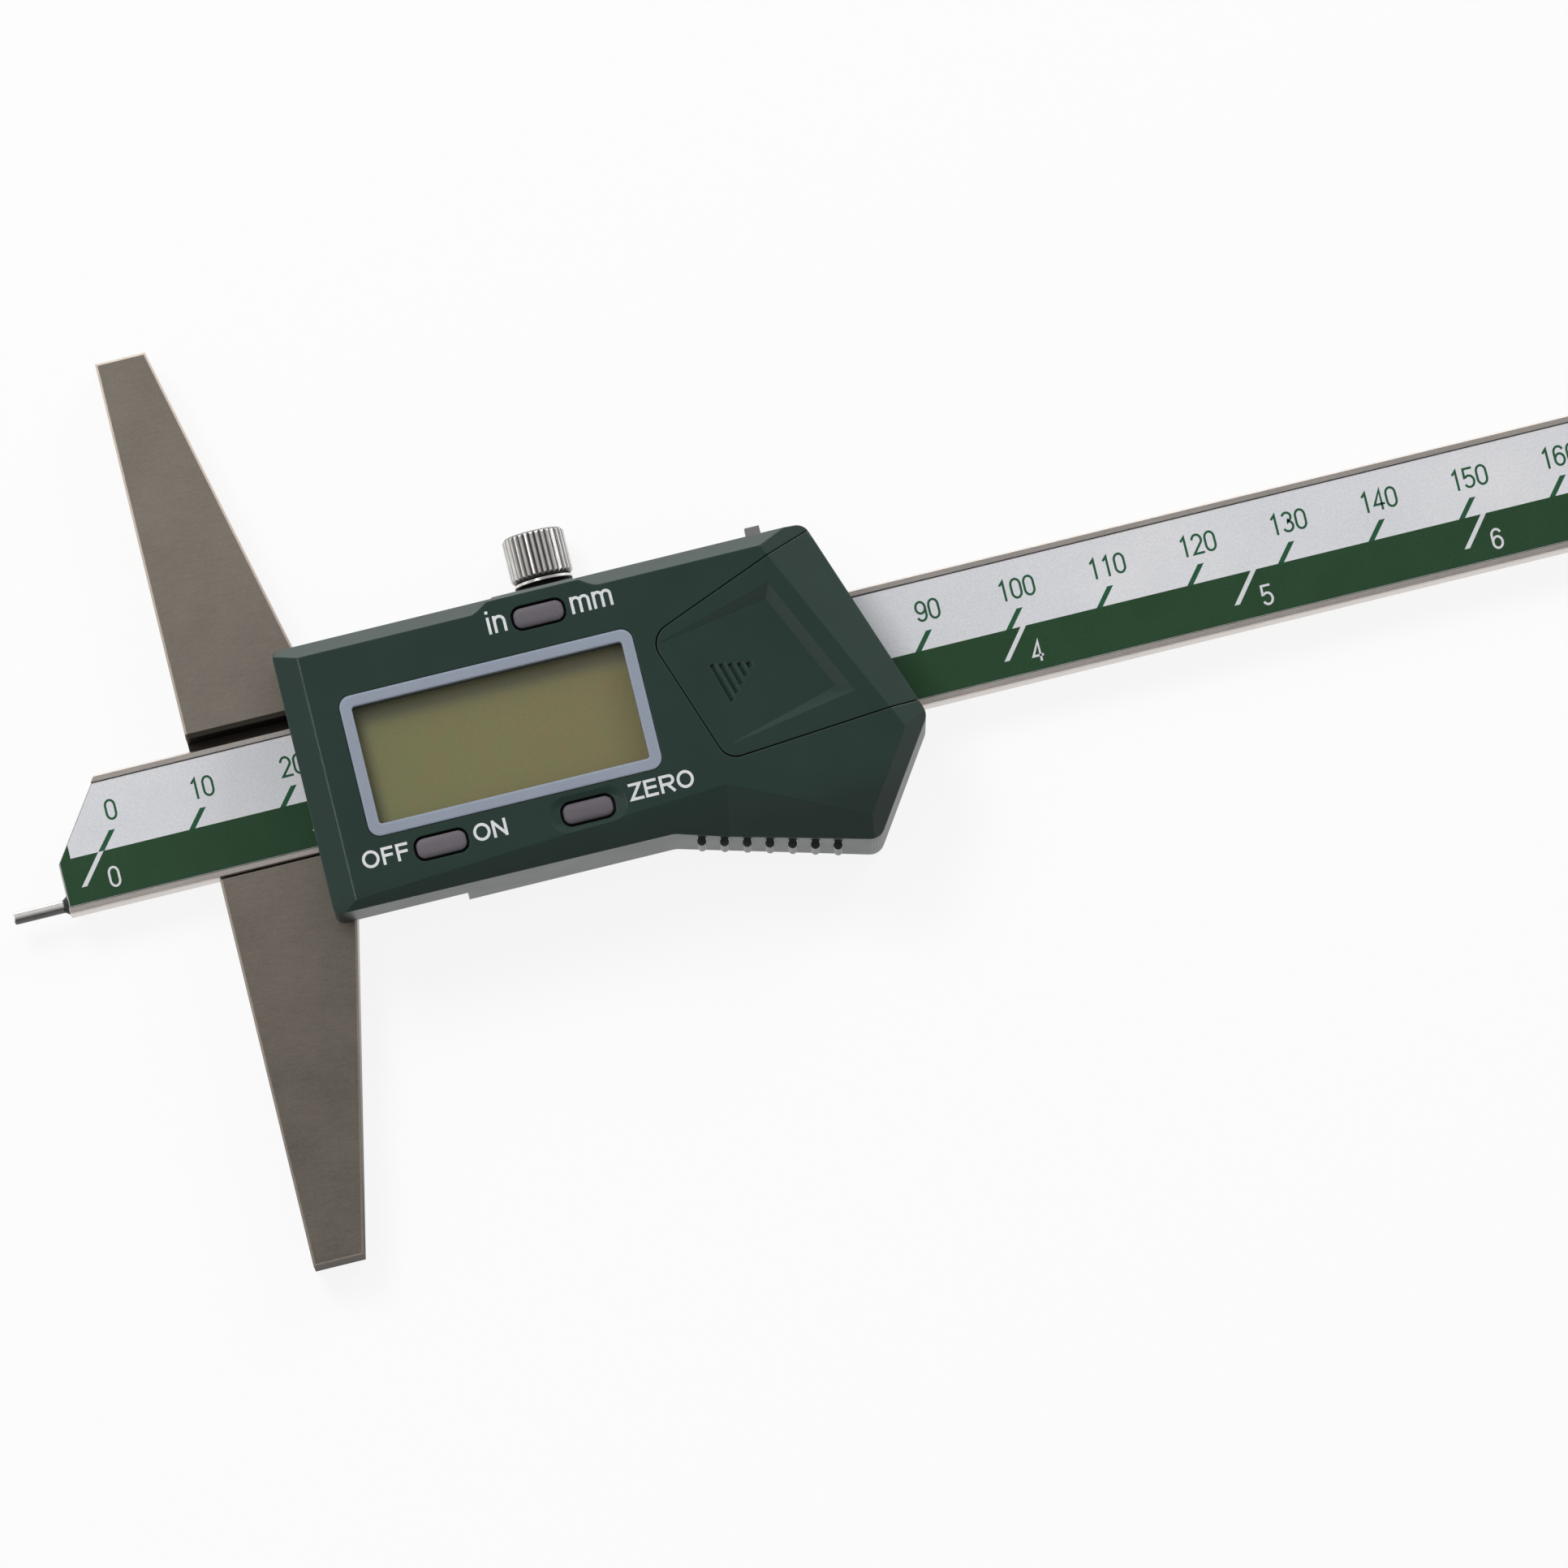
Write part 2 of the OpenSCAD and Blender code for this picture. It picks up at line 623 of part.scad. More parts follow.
// The upper switch sits lower than its button, to stay on the board
function switch_y(p) = p.y > 0 ? -1.5 : 0.5;

// One button: cap, flange under the housing and stem; top says how high its face stands
module push_button(p, top) color([0.42, 0.41, 0.44]) translate([p.x, p.y, 0]) {
    translate([0, 0, flange_z]) pill(button_w, button_h, button_r, top - flange_z);
    translate([0, 0, flange_z]) pill(button_w + 2 * flange_lip + 0.4, button_h + 2 * flange_lip, button_r, flange_t);
    translate([0, 0, stem_z]) cylinder(h = flange_z - stem_z + eps, d = stem_d);
}
module unit_button() push_button(unit_at, house_h + button_proud);
module power_button() push_button(power_at, house_h + button_proud);
module zero_button() push_button(zero_at, house_h);

module button_cell() color([0.75, 0.75, 0.76]) translate([cell_at.x, cell_at.y, cell_z]) {
    cylinder(h = 0.5, d = cell_d - 2.4);
    translate([0, 0, 0.5]) cylinder(h = cell_h - 0.5, d = cell_d);
}

module cell_contact_minus() color([0.8, 0.7, 0.4]) translate([cell_at.x, cell_at.y, board_top]) {
    translate([-5, -1.5, 0]) cube([6, 3, contact_t - 0.1]);
    cylinder(h = contact_t, d = 2.4);
}

module cell_contact_plus() color([0.8, 0.7, 0.4])
    translate([cell_at.x - cell_d / 2 - 0.45, cell_at.y - 1.8, board_top]) {
        cube([0.35, 3.6, cell_h - 0.4]);
        translate([-0.6, 0, 0]) cube([0.6 + eps, 3.6, 0.3]);
    }

module battery_cover() color([0.16, 0.23, 0.21]) difference() {
    intersection() {
        union() cover_frame() {
            translate([0, 0, channel_z + part_gap]) linear_extrude(far) cover_plan(-part_gap / 2);
            translate([part_gap, -cover_side - tongue_lip, channel_z + part_gap])
                cube([cover_len, cover_side + 2 * tongue_lip, tongue_t]);
        }
        house_body(channel_z + part_gap);
    }
    // the skin under the tongues' lips starts above the channel
    difference() {
        cover_frame() translate([-1, -cover_len, channel_z]) cube([2 * cover_len, 2 * cover_len, channel_h + 0.06]);
        cover_frame() translate([part_gap, -cover_side - tongue_lip, channel_z])
            cube([2 * cover_len, cover_side + 2 * tongue_lip, part_gap + tongue_t]);
        cover_frame() translate([part_gap, -cover_side, channel_z]) cube([2 * cover_len, cover_side, far]);
    }
    // thumb recess
    intersection() {
        above(recess_wall);
        above(recess_top);
        above(recess_floor);
        above(recess_low);
    }
    // arrow of shrinking grooves, each with a steep left side and a floor that rises to the right
    translate([arrow_at.x, arrow_at.y, house_h]) rotate([0, 0, arrow_dir])
        for (k = [0 : arrow_count - 1])
            translate([k * arrow_pitch, -arrow_taper[0] * k * arrow_pitch, -arrow_fall * k * arrow_pitch])
                rotate([90, 0, 0]) linear_extrude(arrow_len - (arrow_taper[0] + arrow_taper[1]) * k * arrow_pitch)
                    polygon([[0, -arrow_d[0]], [arrow_w, -arrow_d[1]], [arrow_w, 1], [0, 1]]);
}

module port_cover() color([0.5, 0.48, 0.46]) {
    y0 = house_top - wall - port_plate_t - 0.1;
    translate([port_x - port_over, y0, port_z - port_over])
        cube([port_len + 2 * port_over, port_plate_t, port_h + 2 * port_over]);
    translate([port_x + port_len - nub_w - 0.6, y0 + eps, port_z + 0.2])
        cube([nub_w, house_top + nub_h - y0, port_h - 0.4]);
}

module port_block() color([0.12, 0.12, 0.13])
    translate([port_x + port_len - block_len - 0.6, house_top - wall - port_plate_t - 0.5 - 3, board_top])
        cube([block_len, 3, port_z + port_h - board_top]);

module port_contacts() color([0.85, 0.7, 0.3]) for (k = [0 : 3])
    translate([port_x + port_len - block_len - 0.6 + 0.6 + k * 1.4, house_top - wall - port_plate_t - 0.5, port_z + 0.4])
        cube([0.6, 0.12, port_h - 0.8]);

module housing_screws() color([0.2, 0.2, 0.22]) for (p = HOUSE_SCREWS) translate([p.x, p.y, 0.15])
    difference() {
        union() {
            cylinder(h = house_head_h, d = house_head_d);
            cylinder(h = house_screw_top - 0.15, d = house_screw_d);
        }
        cross_slot(2, 0.5);
    }

beam();
scale_strip();
scale_film();
tip_pin();
stop_screw();
base_bar();
base_screws();
slider_frame();
gib_strip();
gib_screws();
lock_screw();
lock_pad();
front_housing();
lcd_bezel();
lcd_window();
lcd_panel();
zebra_strips();
main_board();
chip_blob();
button_switches();
unit_button();
power_button();
zero_button();
button_cell();
cell_contact_minus();
cell_contact_plus();
battery_cover();
port_cover();
port_block();
port_contacts();
housing_screws();
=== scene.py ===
# %% [markdown]
# # A digital depth gauge, dressed for its portrait
# The solids of the gauge come in ready made and in place, one mesh for each real part. This
# lesson gives each of them the finish of the real thing, prints the scale and the button
# names as thin plates of ink, and sets up the camera, the soft light and a pale floor.

# %% Load the frame
import bpy, bmesh, math
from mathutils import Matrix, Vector


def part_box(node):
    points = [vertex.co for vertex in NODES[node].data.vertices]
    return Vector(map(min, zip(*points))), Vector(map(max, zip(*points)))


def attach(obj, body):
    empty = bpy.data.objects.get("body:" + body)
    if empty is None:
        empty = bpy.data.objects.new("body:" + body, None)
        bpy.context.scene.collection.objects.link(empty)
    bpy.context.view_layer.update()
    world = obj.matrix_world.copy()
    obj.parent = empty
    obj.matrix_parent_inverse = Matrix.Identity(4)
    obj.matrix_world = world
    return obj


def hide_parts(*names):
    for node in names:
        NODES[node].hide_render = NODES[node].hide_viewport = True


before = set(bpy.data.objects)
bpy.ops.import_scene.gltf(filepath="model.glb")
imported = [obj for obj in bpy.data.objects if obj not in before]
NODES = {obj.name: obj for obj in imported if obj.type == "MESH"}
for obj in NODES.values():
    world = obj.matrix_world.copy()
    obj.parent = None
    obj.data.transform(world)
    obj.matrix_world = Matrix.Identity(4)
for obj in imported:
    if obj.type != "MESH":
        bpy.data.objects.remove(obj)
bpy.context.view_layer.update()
MM = 0.001
print("parts of the gauge:", len(NODES))

# %% [markdown]
# ## Camera
# The picture was taken from high above with a long lens, turned a few degrees against the
# beam. The place and the lens were worked out from the printed ticks, the base's corners and
# the display, so the render lines up with the real gauge.

# %% Camera
CAMERA_AT = (0.02482, -0.19438, 1.54379)
CAMERA_TURN = (6.8982, 0.3153, -13.8009)
SENSOR = 36.0
LENS = 332.66


def add_camera():
    data = bpy.data.cameras.new("camera")
    data.sensor_width, data.lens = SENSOR, LENS
    data.clip_start, data.clip_end = 0.1, 20.0
    camera = bpy.data.objects.new("camera", data)
    camera.location = CAMERA_AT
    camera.rotation_euler = [math.radians(a) for a in CAMERA_TURN]
    bpy.context.scene.collection.objects.link(camera)
    bpy.context.scene.camera = camera
    return camera


camera = add_camera()
print("camera", tuple(round(v, 3) for v in camera.location))

# %% [markdown]
# ## Writing materials as sums
# A material is a graph of nodes, which is slow to read when every link is a line of its own.
# A small class wraps one output. Arithmetic on it adds Math nodes, so a pattern reads as the
# sum that it is. One method of the sheet adds any other node.

# %% A wire and its sheet
class Wire:
    """A number or colour on its way through a node tree."""

    def __init__(self, sheet, socket):
        self.sheet, self.socket = sheet, socket

    def sum_of(self, how, a, b=0.0):
        return self.sheet.add("ShaderNodeMath", {"operation": how}, {0: a, 1: b})

    def __add__(self, other):
        return self.sum_of("ADD", self, other)

    def __sub__(self, other):
        return self.sum_of("SUBTRACT", self, other)

    def __rsub__(self, other):
        return self.sum_of("SUBTRACT", other, self)

    def __mul__(self, other):
        return self.sum_of("MULTIPLY", self, other)

    __radd__, __rmul__ = __add__, __mul__

    def clip(self):
        """The same number held between 0 and 1."""
        return self.sheet.add("ShaderNodeClamp", {}, {"Value": self})


class Sheet:
    """The node tree of one finish, or of the world."""

    def __init__(self, tree):
        self.tree = tree

    def add(self, kind, settings, inputs, out=0):
        node = self.tree.nodes.new(kind)
        for key, value in settings.items():
            setattr(node, key, value)
        for key, value in inputs.items():
            if isinstance(value, Wire):
                self.tree.links.new(value.socket, node.inputs[key])
            else:
                node.inputs[key].default_value = value
        return Wire(self, node.outputs[out])

    def blend(self, mask, low, high):
        """Colour that goes from low to high as the mask goes from 0 to 1."""
        return self.add("ShaderNodeMix", {"data_type": "RGBA"}, {0: mask, 6: low, 7: high}, 2)


print("wires and sheets ready")

# %% [markdown]
# ## Patterns
# Real surfaces are never even: moulded plastic carries the grain of its mould, ground steel
# the scratches of the stone, and everything has faint clouds of wear. All of these are noise
# at different sizes, read in the object's own space so that it stays put when a part moves.

# %% Noise in millimetres
def space(sheet, stretch=(1, 1, 1)):
    """Object coordinates in mm, squeezed along each axis by stretch."""
    here = sheet.add("ShaderNodeTexCoord", {}, {}, "Object")
    return sheet.add("ShaderNodeMapping", {}, {"Vector": here,
                     "Scale": tuple(1 / (MM * s) for s in stretch)})


def grain(sheet, size, stretch=(1, 1, 1), detail=2.0):
    """Noise around 0.5 whose features are about size mm across."""
    return sheet.add("ShaderNodeTexNoise", {}, {"Vector": space(sheet, stretch),
                     "Scale": 1 / size, "Detail": detail, "Roughness": 0.55}, "Fac")


def band(mask, low, high):
    """Stretches the range from low to high to the whole of 0 to 1."""
    return mask.sheet.add("ShaderNodeMapRange", {}, {"Value": mask, "From Min": low,
                          "From Max": high})


def zone(sheet, axis, start, end):
    """0 before start and 1 after end, in mm along one axis of the part."""
    along = sheet.add("ShaderNodeSeparateXYZ", {}, {"Vector": space(sheet)}, axis)
    return band(along, start, end).clip()


print("patterns are in mm")

# %% [markdown]
# ## One recipe for every finish
# Every finish ends in the same shader with three things that vary: colour, roughness and the
# height of its small relief. The Bevel node rounds the look of each edge by a fraction of a
# millimetre, which is what catches the light on a real edge, and the relief comes on top.

# %% The finish recipe
def rgb(r, g, b):
    return (r, g, b, 1.0)


def shades(tone, spread, less=0.0):
    """The darker and the lighter side of a colour, both lowered by the share less."""
    return [rgb(*[min(1, (share - less) * t) for t in tone]) for share in (1 - spread, 1 + spread)]


def finish(name, edge, **constants):
    """A new material whose edges look rounded by edge mm, with its sheet, shader and normal."""
    material = bpy.data.materials.new(name)
    material.use_nodes = True
    sheet = Sheet(material.node_tree)
    shader = material.node_tree.nodes["Principled BSDF"]
    for key, value in constants.items():
        shader.inputs[key.replace("_", " ")].default_value = value
    soft = sheet.add("ShaderNodeBevel", {"samples": 4}, {"Radius": edge * MM})
    sheet.tree.links.new(soft.socket, shader.inputs["Normal"])
    return material, sheet, shader, soft


def feed(sheet, shader, **wires):
    for key, wire in wires.items():
        sheet.tree.links.new(wire.socket, shader.inputs[key.replace("_", " ")])


def relief(sheet, shader, height, depth, normal):
    """Bump from a height of 0 to 1 that stands for depth mm, over the rounded normal."""
    bump = sheet.add("ShaderNodeBump", {}, {"Strength": 1.0, "Distance": depth * MM,
                     "Height": height, "Normal": normal})
    sheet.tree.links.new(bump.socket, shader.inputs["Normal"])


FINISH = {}
print("recipe ready")

# %% [markdown]
# ## Ground steel
# The base and the beam are hardened stainless steel, ground flat and then satin finished, so they
# show fine lines along the way the stone went and broad, weak clouds where hands have been. Metal
# takes all of its look from reflection, so the lines live in its roughness and relief, and only a
# little in its colour. The base's lower arm is painted a little darker than its upper one, as
# shade, and the slot that the beam runs through is painted dark, as shade.

# %% Ground steel
ARM_Y = 30.0
SLOT_SOFT, SLOT_FLOOR, SLOT_SHADE_TONE = 0.1, (0.3, 0.6), 0.15


def ground_steel(name, tone, rough, painted_shade=0.0, slot=None):
    """Satin steel with lines along X; a painted shade darkens it towards -Y by the given share,
    and the slot between its two Y is painted dark as shade.
    """
    material, sheet, shader, soft = finish(name, 0.12, Metallic=1.0)
    lines = grain(sheet, 0.22, (8, 0.6, 0.6), 2.0)
    cloud = grain(sheet, 7.0, detail=4.0)
    speck = grain(sheet, 0.30, detail=2.0)
    mask = band(0.35 * lines + 0.35 * cloud + 0.3 * speck, 0.36, 0.64).clip()
    base = sheet.blend(mask, *shades(tone, 0.10))
    # Painted shade: the steel is coloured darker towards -Y.
    if painted_shade:
        shaded_far = sheet.blend(mask, *shades(tone, 0.10, painted_shade))
        base = sheet.blend(zone(sheet, "Y", ARM_Y, -ARM_Y), base, shaded_far)
    # Painted shade: the inside of the slot is coloured dark.
    if slot:
        slot_shade = (zone(sheet, "Y", slot[0] - SLOT_SOFT, slot[0])
                  * zone(sheet, "Y", slot[1] + SLOT_SOFT, slot[1]) * zone(sheet, "Z", *SLOT_FLOOR))
        base = sheet.blend(slot_shade, base, rgb(*[SLOT_SHADE_TONE * t for t in tone]))
    feed(sheet, shader, Base_Color=base, Roughness=rough + 0.08 * cloud + 0.06 * lines - 0.07)
    relief(sheet, shader, 0.5 * lines + 0.5 * speck, 0.003, soft)
    FINISH[name] = material


ground_steel("base_steel", (0.40, 0.352, 0.30), 0.36, painted_shade=0.34, slot=(-7.3, 8.7))
ground_steel("beam_steel", (0.68, 0.62, 0.58), 0.33)
ground_steel("frame_steel", (0.36, 0.35, 0.34), 0.30)
print("steels:", len(FINISH))

# %% [markdown]
# ## Turned, blackened and pressed metal
# The pin is hard drawn wire, and a thin skin of oxide scatters a little of its light. Its root and
# its lower side are painted dark, as shade. The screws are blackened, the springs brass and the
# cell nickel plate. One function makes them all, because they differ only in colour, gloss and the
# size of their marks.

# %% Small metal parts
ROOT_LENGTH, ROOT_SOFT = 0.45, 0.15
PIN_SHADE_Y = (-5.95, -6.20)
PIN_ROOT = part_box("beam")[0].x / MM - ROOT_LENGTH


def small_metal(name, tone, rough, mark, spread=0.12, metal=1.0, root=None):
    """Metal with marks of this size in mm; root is the X from which it's painted dark as shade."""
    material, sheet, shader, soft = finish(name, 0.08, Metallic=metal)
    cloud = grain(sheet, mark * 6, detail=3.0)
    fine = grain(sheet, mark, detail=2.0)
    base = sheet.blend(band(cloud, 0.35, 0.65).clip(), *shades(tone, spread))
    # Painted shade: the pin's root and its lower side are coloured near black.
    if root is not None:
        below = zone(sheet, "Y", *PIN_SHADE_Y)
        pin_shade_mask = (zone(sheet, "X", root - ROOT_SOFT, root) + 0.9 * below).clip()
        base = sheet.blend(pin_shade_mask, base, rgb(0.03, 0.03, 0.03))
    feed(sheet, shader, Base_Color=base, Roughness=rough + 0.14 * fine - 0.07)
    relief(sheet, shader, fine, 0.002, soft)
    FINISH[name] = material


small_metal("pin_steel", (0.88, 0.86, 0.84), 0.22, 0.25, spread=0.06, metal=0.88, root=PIN_ROOT)
small_metal("black_steel", (0.055, 0.055, 0.06), 0.42, 0.30)
small_metal("spring_brass", (0.60, 0.44, 0.19), 0.28, 0.40)
small_metal("cell_nickel", (0.58, 0.57, 0.55), 0.22, 0.50)
small_metal("contact_gold", (0.80, 0.58, 0.24), 0.20, 0.20)
print("metals:", len(FINISH))

# %% [markdown]
# ## The lock screw
# The knurled knob is bright steel, and below it come a groove and a polished ring. The groove and
# the neck under the ring are painted near black as shade, so the colour and the gloss change along
# the screw, which is Y. Down in the flutes the steel is painted darker with the depth under the
# knob's skin, as shade.

# %% The lock screw
NECK_Y, RING_Y, KNURL_Y = 15.84, 16.14, 16.30
STEP = 0.03
KNOB_R, SKIN, FLUTE = 3.4, 0.04, 0.22


def lock_steel():
    material, sheet, shader, soft = finish("lock_steel", 0.05, Metallic=1.0)
    knurl = zone(sheet, "Y", KNURL_Y, KNURL_Y + STEP)
    ring = zone(sheet, "Y", NECK_Y, NECK_Y + STEP) * zone(sheet, "Y", RING_Y + STEP, RING_Y)
    bright = (knurl + ring).clip()
    fine = grain(sheet, 0.25, detail=2.0)
    cloud = grain(sheet, 1.5, detail=2.0)
    steel = sheet.blend(band(cloud, 0.35, 0.65).clip(),
                        rgb(0.76, 0.74, 0.72), rgb(0.84, 0.82, 0.80))
    low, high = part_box("lock_screw")
    axis = (low + high) / 2 / MM
    place = sheet.add("ShaderNodeMapping", {}, {"Vector": space(sheet), "Scale": (1, 0, 1),
                      "Location": (-axis.x, 0, -axis.z)})
    radius = sheet.add("ShaderNodeVectorMath", {"operation": "LENGTH"}, {0: place}, "Value")
    # Painted shade: the steel is coloured darker down in the flutes.
    flute_shade = band(radius, KNOB_R - SKIN, KNOB_R - FLUTE).clip() * knurl
    steel = sheet.blend(0.85 * flute_shade, steel, rgb(0.10, 0.095, 0.09))
    # Painted shade: outside the knurl and the ring, the groove and the neck are coloured near
    # black.
    feed(sheet, shader, Base_Color=sheet.blend(bright, rgb(0.012, 0.012, 0.012), steel),
         Roughness=0.26 + 0.08 * fine + 0.25 * (1.0 - bright))
    relief(sheet, shader, ring * fine, 0.0005, soft)
    FINISH["lock_steel"] = material


lock_steel()
print("polished ring from", NECK_Y, "to", RING_Y, "mm")

# %% [markdown]
# ## Moulded plastic
# The housing is dark green ABS from a spark-eroded mould: a fine even grain that spreads the
# highlight. Along the edges, where hands rub it, it's a little polished, and its colour is painted
# paler there as a highlight. The mask for that is the angle between the rounded and the flat
# normal, which is 0 away from edges. The facets at the front are turned to the dark side of the
# room; their deeper, bluer tone is painted shade.

# %% Moulded plastic
FRONT_Y = (-12.5, -16.0)


def near_edge(sheet, soft, start, end):
    """0 on flat ground and 1 at an edge, from how far the rounded normal leans."""
    flat = sheet.add("ShaderNodeNewGeometry", {}, {}, "True Normal")
    match = sheet.add("ShaderNodeVectorMath", {"operation": "DOT_PRODUCT"}, {0: soft, 1: flat},
                      "Value")
    return band(1.0 - match, start, end).clip()


def moulded(name, tone, rough, size=0.16, depth=0.006, edge=0.22, spread=0.1, shine=0.08,
            painted_shade=0.0, **constants):
    """Plastic with a grain of this size and depth in mm; a painted shade deepens its tone at the
    front by the given share.
    """
    material, sheet, shader, soft = finish(name, edge, **constants)
    skin = grain(sheet, size, detail=2.0)
    cloud = grain(sheet, 7.0, detail=3.0)
    polish_and_highlight = near_edge(sheet, soft, 0.002, 0.016)
    base = sheet.blend(band(0.5 * skin + 0.5 * cloud, 0.36, 0.64).clip(), *shades(tone, spread))
    # Painted shade: the front facets are coloured deeper and bluer.
    if painted_shade:
        front = painted_shade * zone(sheet, "Y", *FRONT_Y)
        base = sheet.add("ShaderNodeMix", {"data_type": "RGBA", "blend_type": "MULTIPLY"},
                         {0: front, 6: base, 7: rgb(0.0, 0.0, 0.1)}, 2)
    # Painted highlight: the edges are coloured paler; their lower roughness is real polish.
    painted_highlight = rgb(*[1.3 * t + 0.006 for t in tone])
    feed(sheet, shader, Base_Color=sheet.blend(0.6 * polish_and_highlight, base, painted_highlight),
         Roughness=(rough + 0.10 * cloud + 0.06 * skin - 0.08) - shine * polish_and_highlight)
    relief(sheet, shader, skin, depth, soft)
    FINISH[name] = material


moulded("housing_green", (0.0100, 0.0285, 0.0220), 0.40, shine=0.18, painted_shade=0.32, IOR=1.48)
moulded("bezel_grey", (0.265, 0.30, 0.37), 0.36, 0.2, 0.003, 0.35, 0.04)
moulded("button_mauve", (0.124, 0.112, 0.128), 0.46, 0.14, 0.004, 0.1, 0.10, IOR=1.42)
moulded("port_mauve", (0.19, 0.175, 0.175), 0.45, 0.2, 0.003, 0.15, 0.06)
moulded("switch_black", (0.012, 0.012, 0.013), 0.45, 0.2, 0.003, 0.1)
moulded("epoxy_black", (0.006, 0.006, 0.006), 0.18, 0.8, 0.010, 0.3)
moulded("zebra_rubber", (0.40, 0.40, 0.41), 0.60, 0.15, 0.004, 0.1)
print("plastics added:", len(FINISH))

# %% [markdown]
# ## Circuit boards, film, display and window
# The boards are green solder mask over copper, which shows as a faint weave. The scale film is
# white printed polyester, and a painted shadow darkens its edges. The display is a reflector
# behind glass, slightly cloudy, greener on the left and browner on the right. The window over it
# is clear, so most of it is see-through and only its gloss is left.

# %% Circuit, film, display and window
GREEN_X, BROWN_X = 20.0, 45.0


def circuit():
    material, sheet, shader, soft = finish("circuit_green", 0.08, IOR=1.5)
    weave = grain(sheet, 0.5, (1, 6, 1), 1.0) * grain(sheet, 0.5, (6, 1, 1), 1.0)
    cloud = grain(sheet, 5.0, detail=3.0)
    base = sheet.blend(band(weave + 0.4 * cloud, 0.35, 0.6).clip(),
                       rgb(0.012, 0.075, 0.03), rgb(0.02, 0.11, 0.05))
    feed(sheet, shader, Base_Color=base, Roughness=0.26 + 0.15 * cloud)
    relief(sheet, shader, weave, 0.01, soft)
    return material


def film():
    material, sheet, shader, soft = finish("film_white", 0.16, IOR=1.48)
    cloud = grain(sheet, 12.0, detail=4.0)
    fibre = grain(sheet, 0.22, detail=3.0)
    base = sheet.blend(band(0.35 * cloud + 0.65 * fibre, 0.34, 0.66).clip(),
                       rgb(0.59, 0.605, 0.645), rgb(0.73, 0.725, 0.74))
    # Painted shadow: the film's edges are coloured near black.
    base = sheet.blend(near_edge(sheet, soft, 0.003, 0.03), base, rgb(0.045, 0.040, 0.035))
    feed(sheet, shader, Base_Color=base, Roughness=0.36 + 0.14 * cloud)
    relief(sheet, shader, fibre, 0.001, soft)
    return material


def display():
    material, sheet, shader, soft = finish("display_grey", 0.1, IOR=1.5)
    cloud = grain(sheet, 1.6, detail=4.0)
    speck = grain(sheet, 0.16, detail=2.0)
    patch = 0.5 * band(cloud, 0.38, 0.62).clip() + 0.5 * zone(sheet, "X", BROWN_X, GREEN_X)
    dots = band(speck, 0.3, 0.7).clip()
    brown = sheet.blend(dots, rgb(0.172, 0.135, 0.023), rgb(0.221, 0.180, 0.048))
    green = sheet.blend(dots, rgb(0.141, 0.146, 0.025), rgb(0.180, 0.190, 0.048))
    feed(sheet, shader, Base_Color=sheet.blend(patch, brown, green), Roughness=0.5 + 0.2 * speck)
    relief(sheet, shader, speck, 0.002, soft)
    return material


def window():
    material, sheet, shader, _ = finish("window_clear", 0.1, IOR=1.49, Alpha=0.09)
    cloud = grain(sheet, 10.0, detail=3.0)
    base = sheet.blend(cloud, rgb(0.32, 0.32, 0.30), rgb(0.39, 0.39, 0.37))
    feed(sheet, shader, Base_Color=base, Roughness=0.04 + 0.05 * cloud)
    return material


for make in (circuit, film, display, window):
    material = make()
    FINISH[material.name] = material
print("all finishes:", sorted(FINISH))

# %% [markdown]
# ## Dress the parts
# A part keeps its own mesh and only gets its finish assigned, so its shape stays exactly what
# the drawing says.

# %% Dress the parts
DRESS = {
    "base_steel": ["base_bar"],
    "beam_steel": ["beam"],
    "frame_steel": ["slider_frame"],
    "lock_steel": ["lock_screw"],
    "pin_steel": ["tip_pin"],
    "black_steel": ["stop_screw", "base_screws", "gib_screws", "housing_screws"],
    "spring_brass": ["gib_strip", "lock_pad", "cell_contact_minus", "cell_contact_plus"],
    "cell_nickel": ["button_cell"],
    "contact_gold": ["port_contacts"],
    "housing_green": ["front_housing", "battery_cover"],
    "bezel_grey": ["lcd_bezel"],
    "button_mauve": ["unit_button", "power_button", "zero_button"],
    "port_mauve": ["port_cover"],
    "switch_black": ["button_switches", "port_block"],
    "epoxy_black": ["chip_blob"],
    "zebra_rubber": ["zebra_strips"],
    "circuit_green": ["scale_strip", "main_board"],
    "film_white": ["scale_film"],
    "display_grey": ["lcd_panel"],
    "window_clear": ["lcd_window"],
}
for name, parts in DRESS.items():
    for part in parts:
        slots = NODES[part].data.materials
        slots.clear()
        slots.append(FINISH[name])
bare = set(NODES) - {part for parts in DRESS.values() for part in parts}
print("parts without a finish:", sorted(bare))

# %% [markdown]
# ## Ink
# The scale is screen printed. Ink lies on the film about a hundredth of a millimetre thick, so
# each colour is a thin closed plate. It's matt, and its coverage is never quite even.

# %% Ink
def ink(name, low, high, rough):
    material, sheet, shader, soft = finish(name, 0.02, IOR=1.45)
    cover = grain(sheet, 0.3, detail=3.0)
    cloud = grain(sheet, 6.0, detail=2.0)
    mask = band(0.6 * cover + 0.4 * cloud, 0.36, 0.64).clip()
    feed(sheet, shader, Base_Color=sheet.blend(mask, rgb(*low), rgb(*high)),
         Roughness=rough + 0.12 * cover)
    relief(sheet, shader, cover, 0.002, soft)
    FINISH[name] = material


ink("ink_green", (0.0105, 0.044, 0.0155), (0.0145, 0.056, 0.0215), 0.42)
ink("ink_tick", (0.010, 0.075, 0.030), (0.014, 0.090, 0.040), 0.42)
ink("ink_white", (0.60, 0.61, 0.63), (0.68, 0.68, 0.70), 0.40)
ink("ink_legend", (0.62, 0.64, 0.66), (0.74, 0.75, 0.77), 0.40)
print("inks ready")

# %% [markdown]
# ## Plates from outlines
# A closed outline pulled up by the thickness of the ink gives a plate with top, bottom and
# sides. It's placed in the mesh itself, with the object left at the origin.

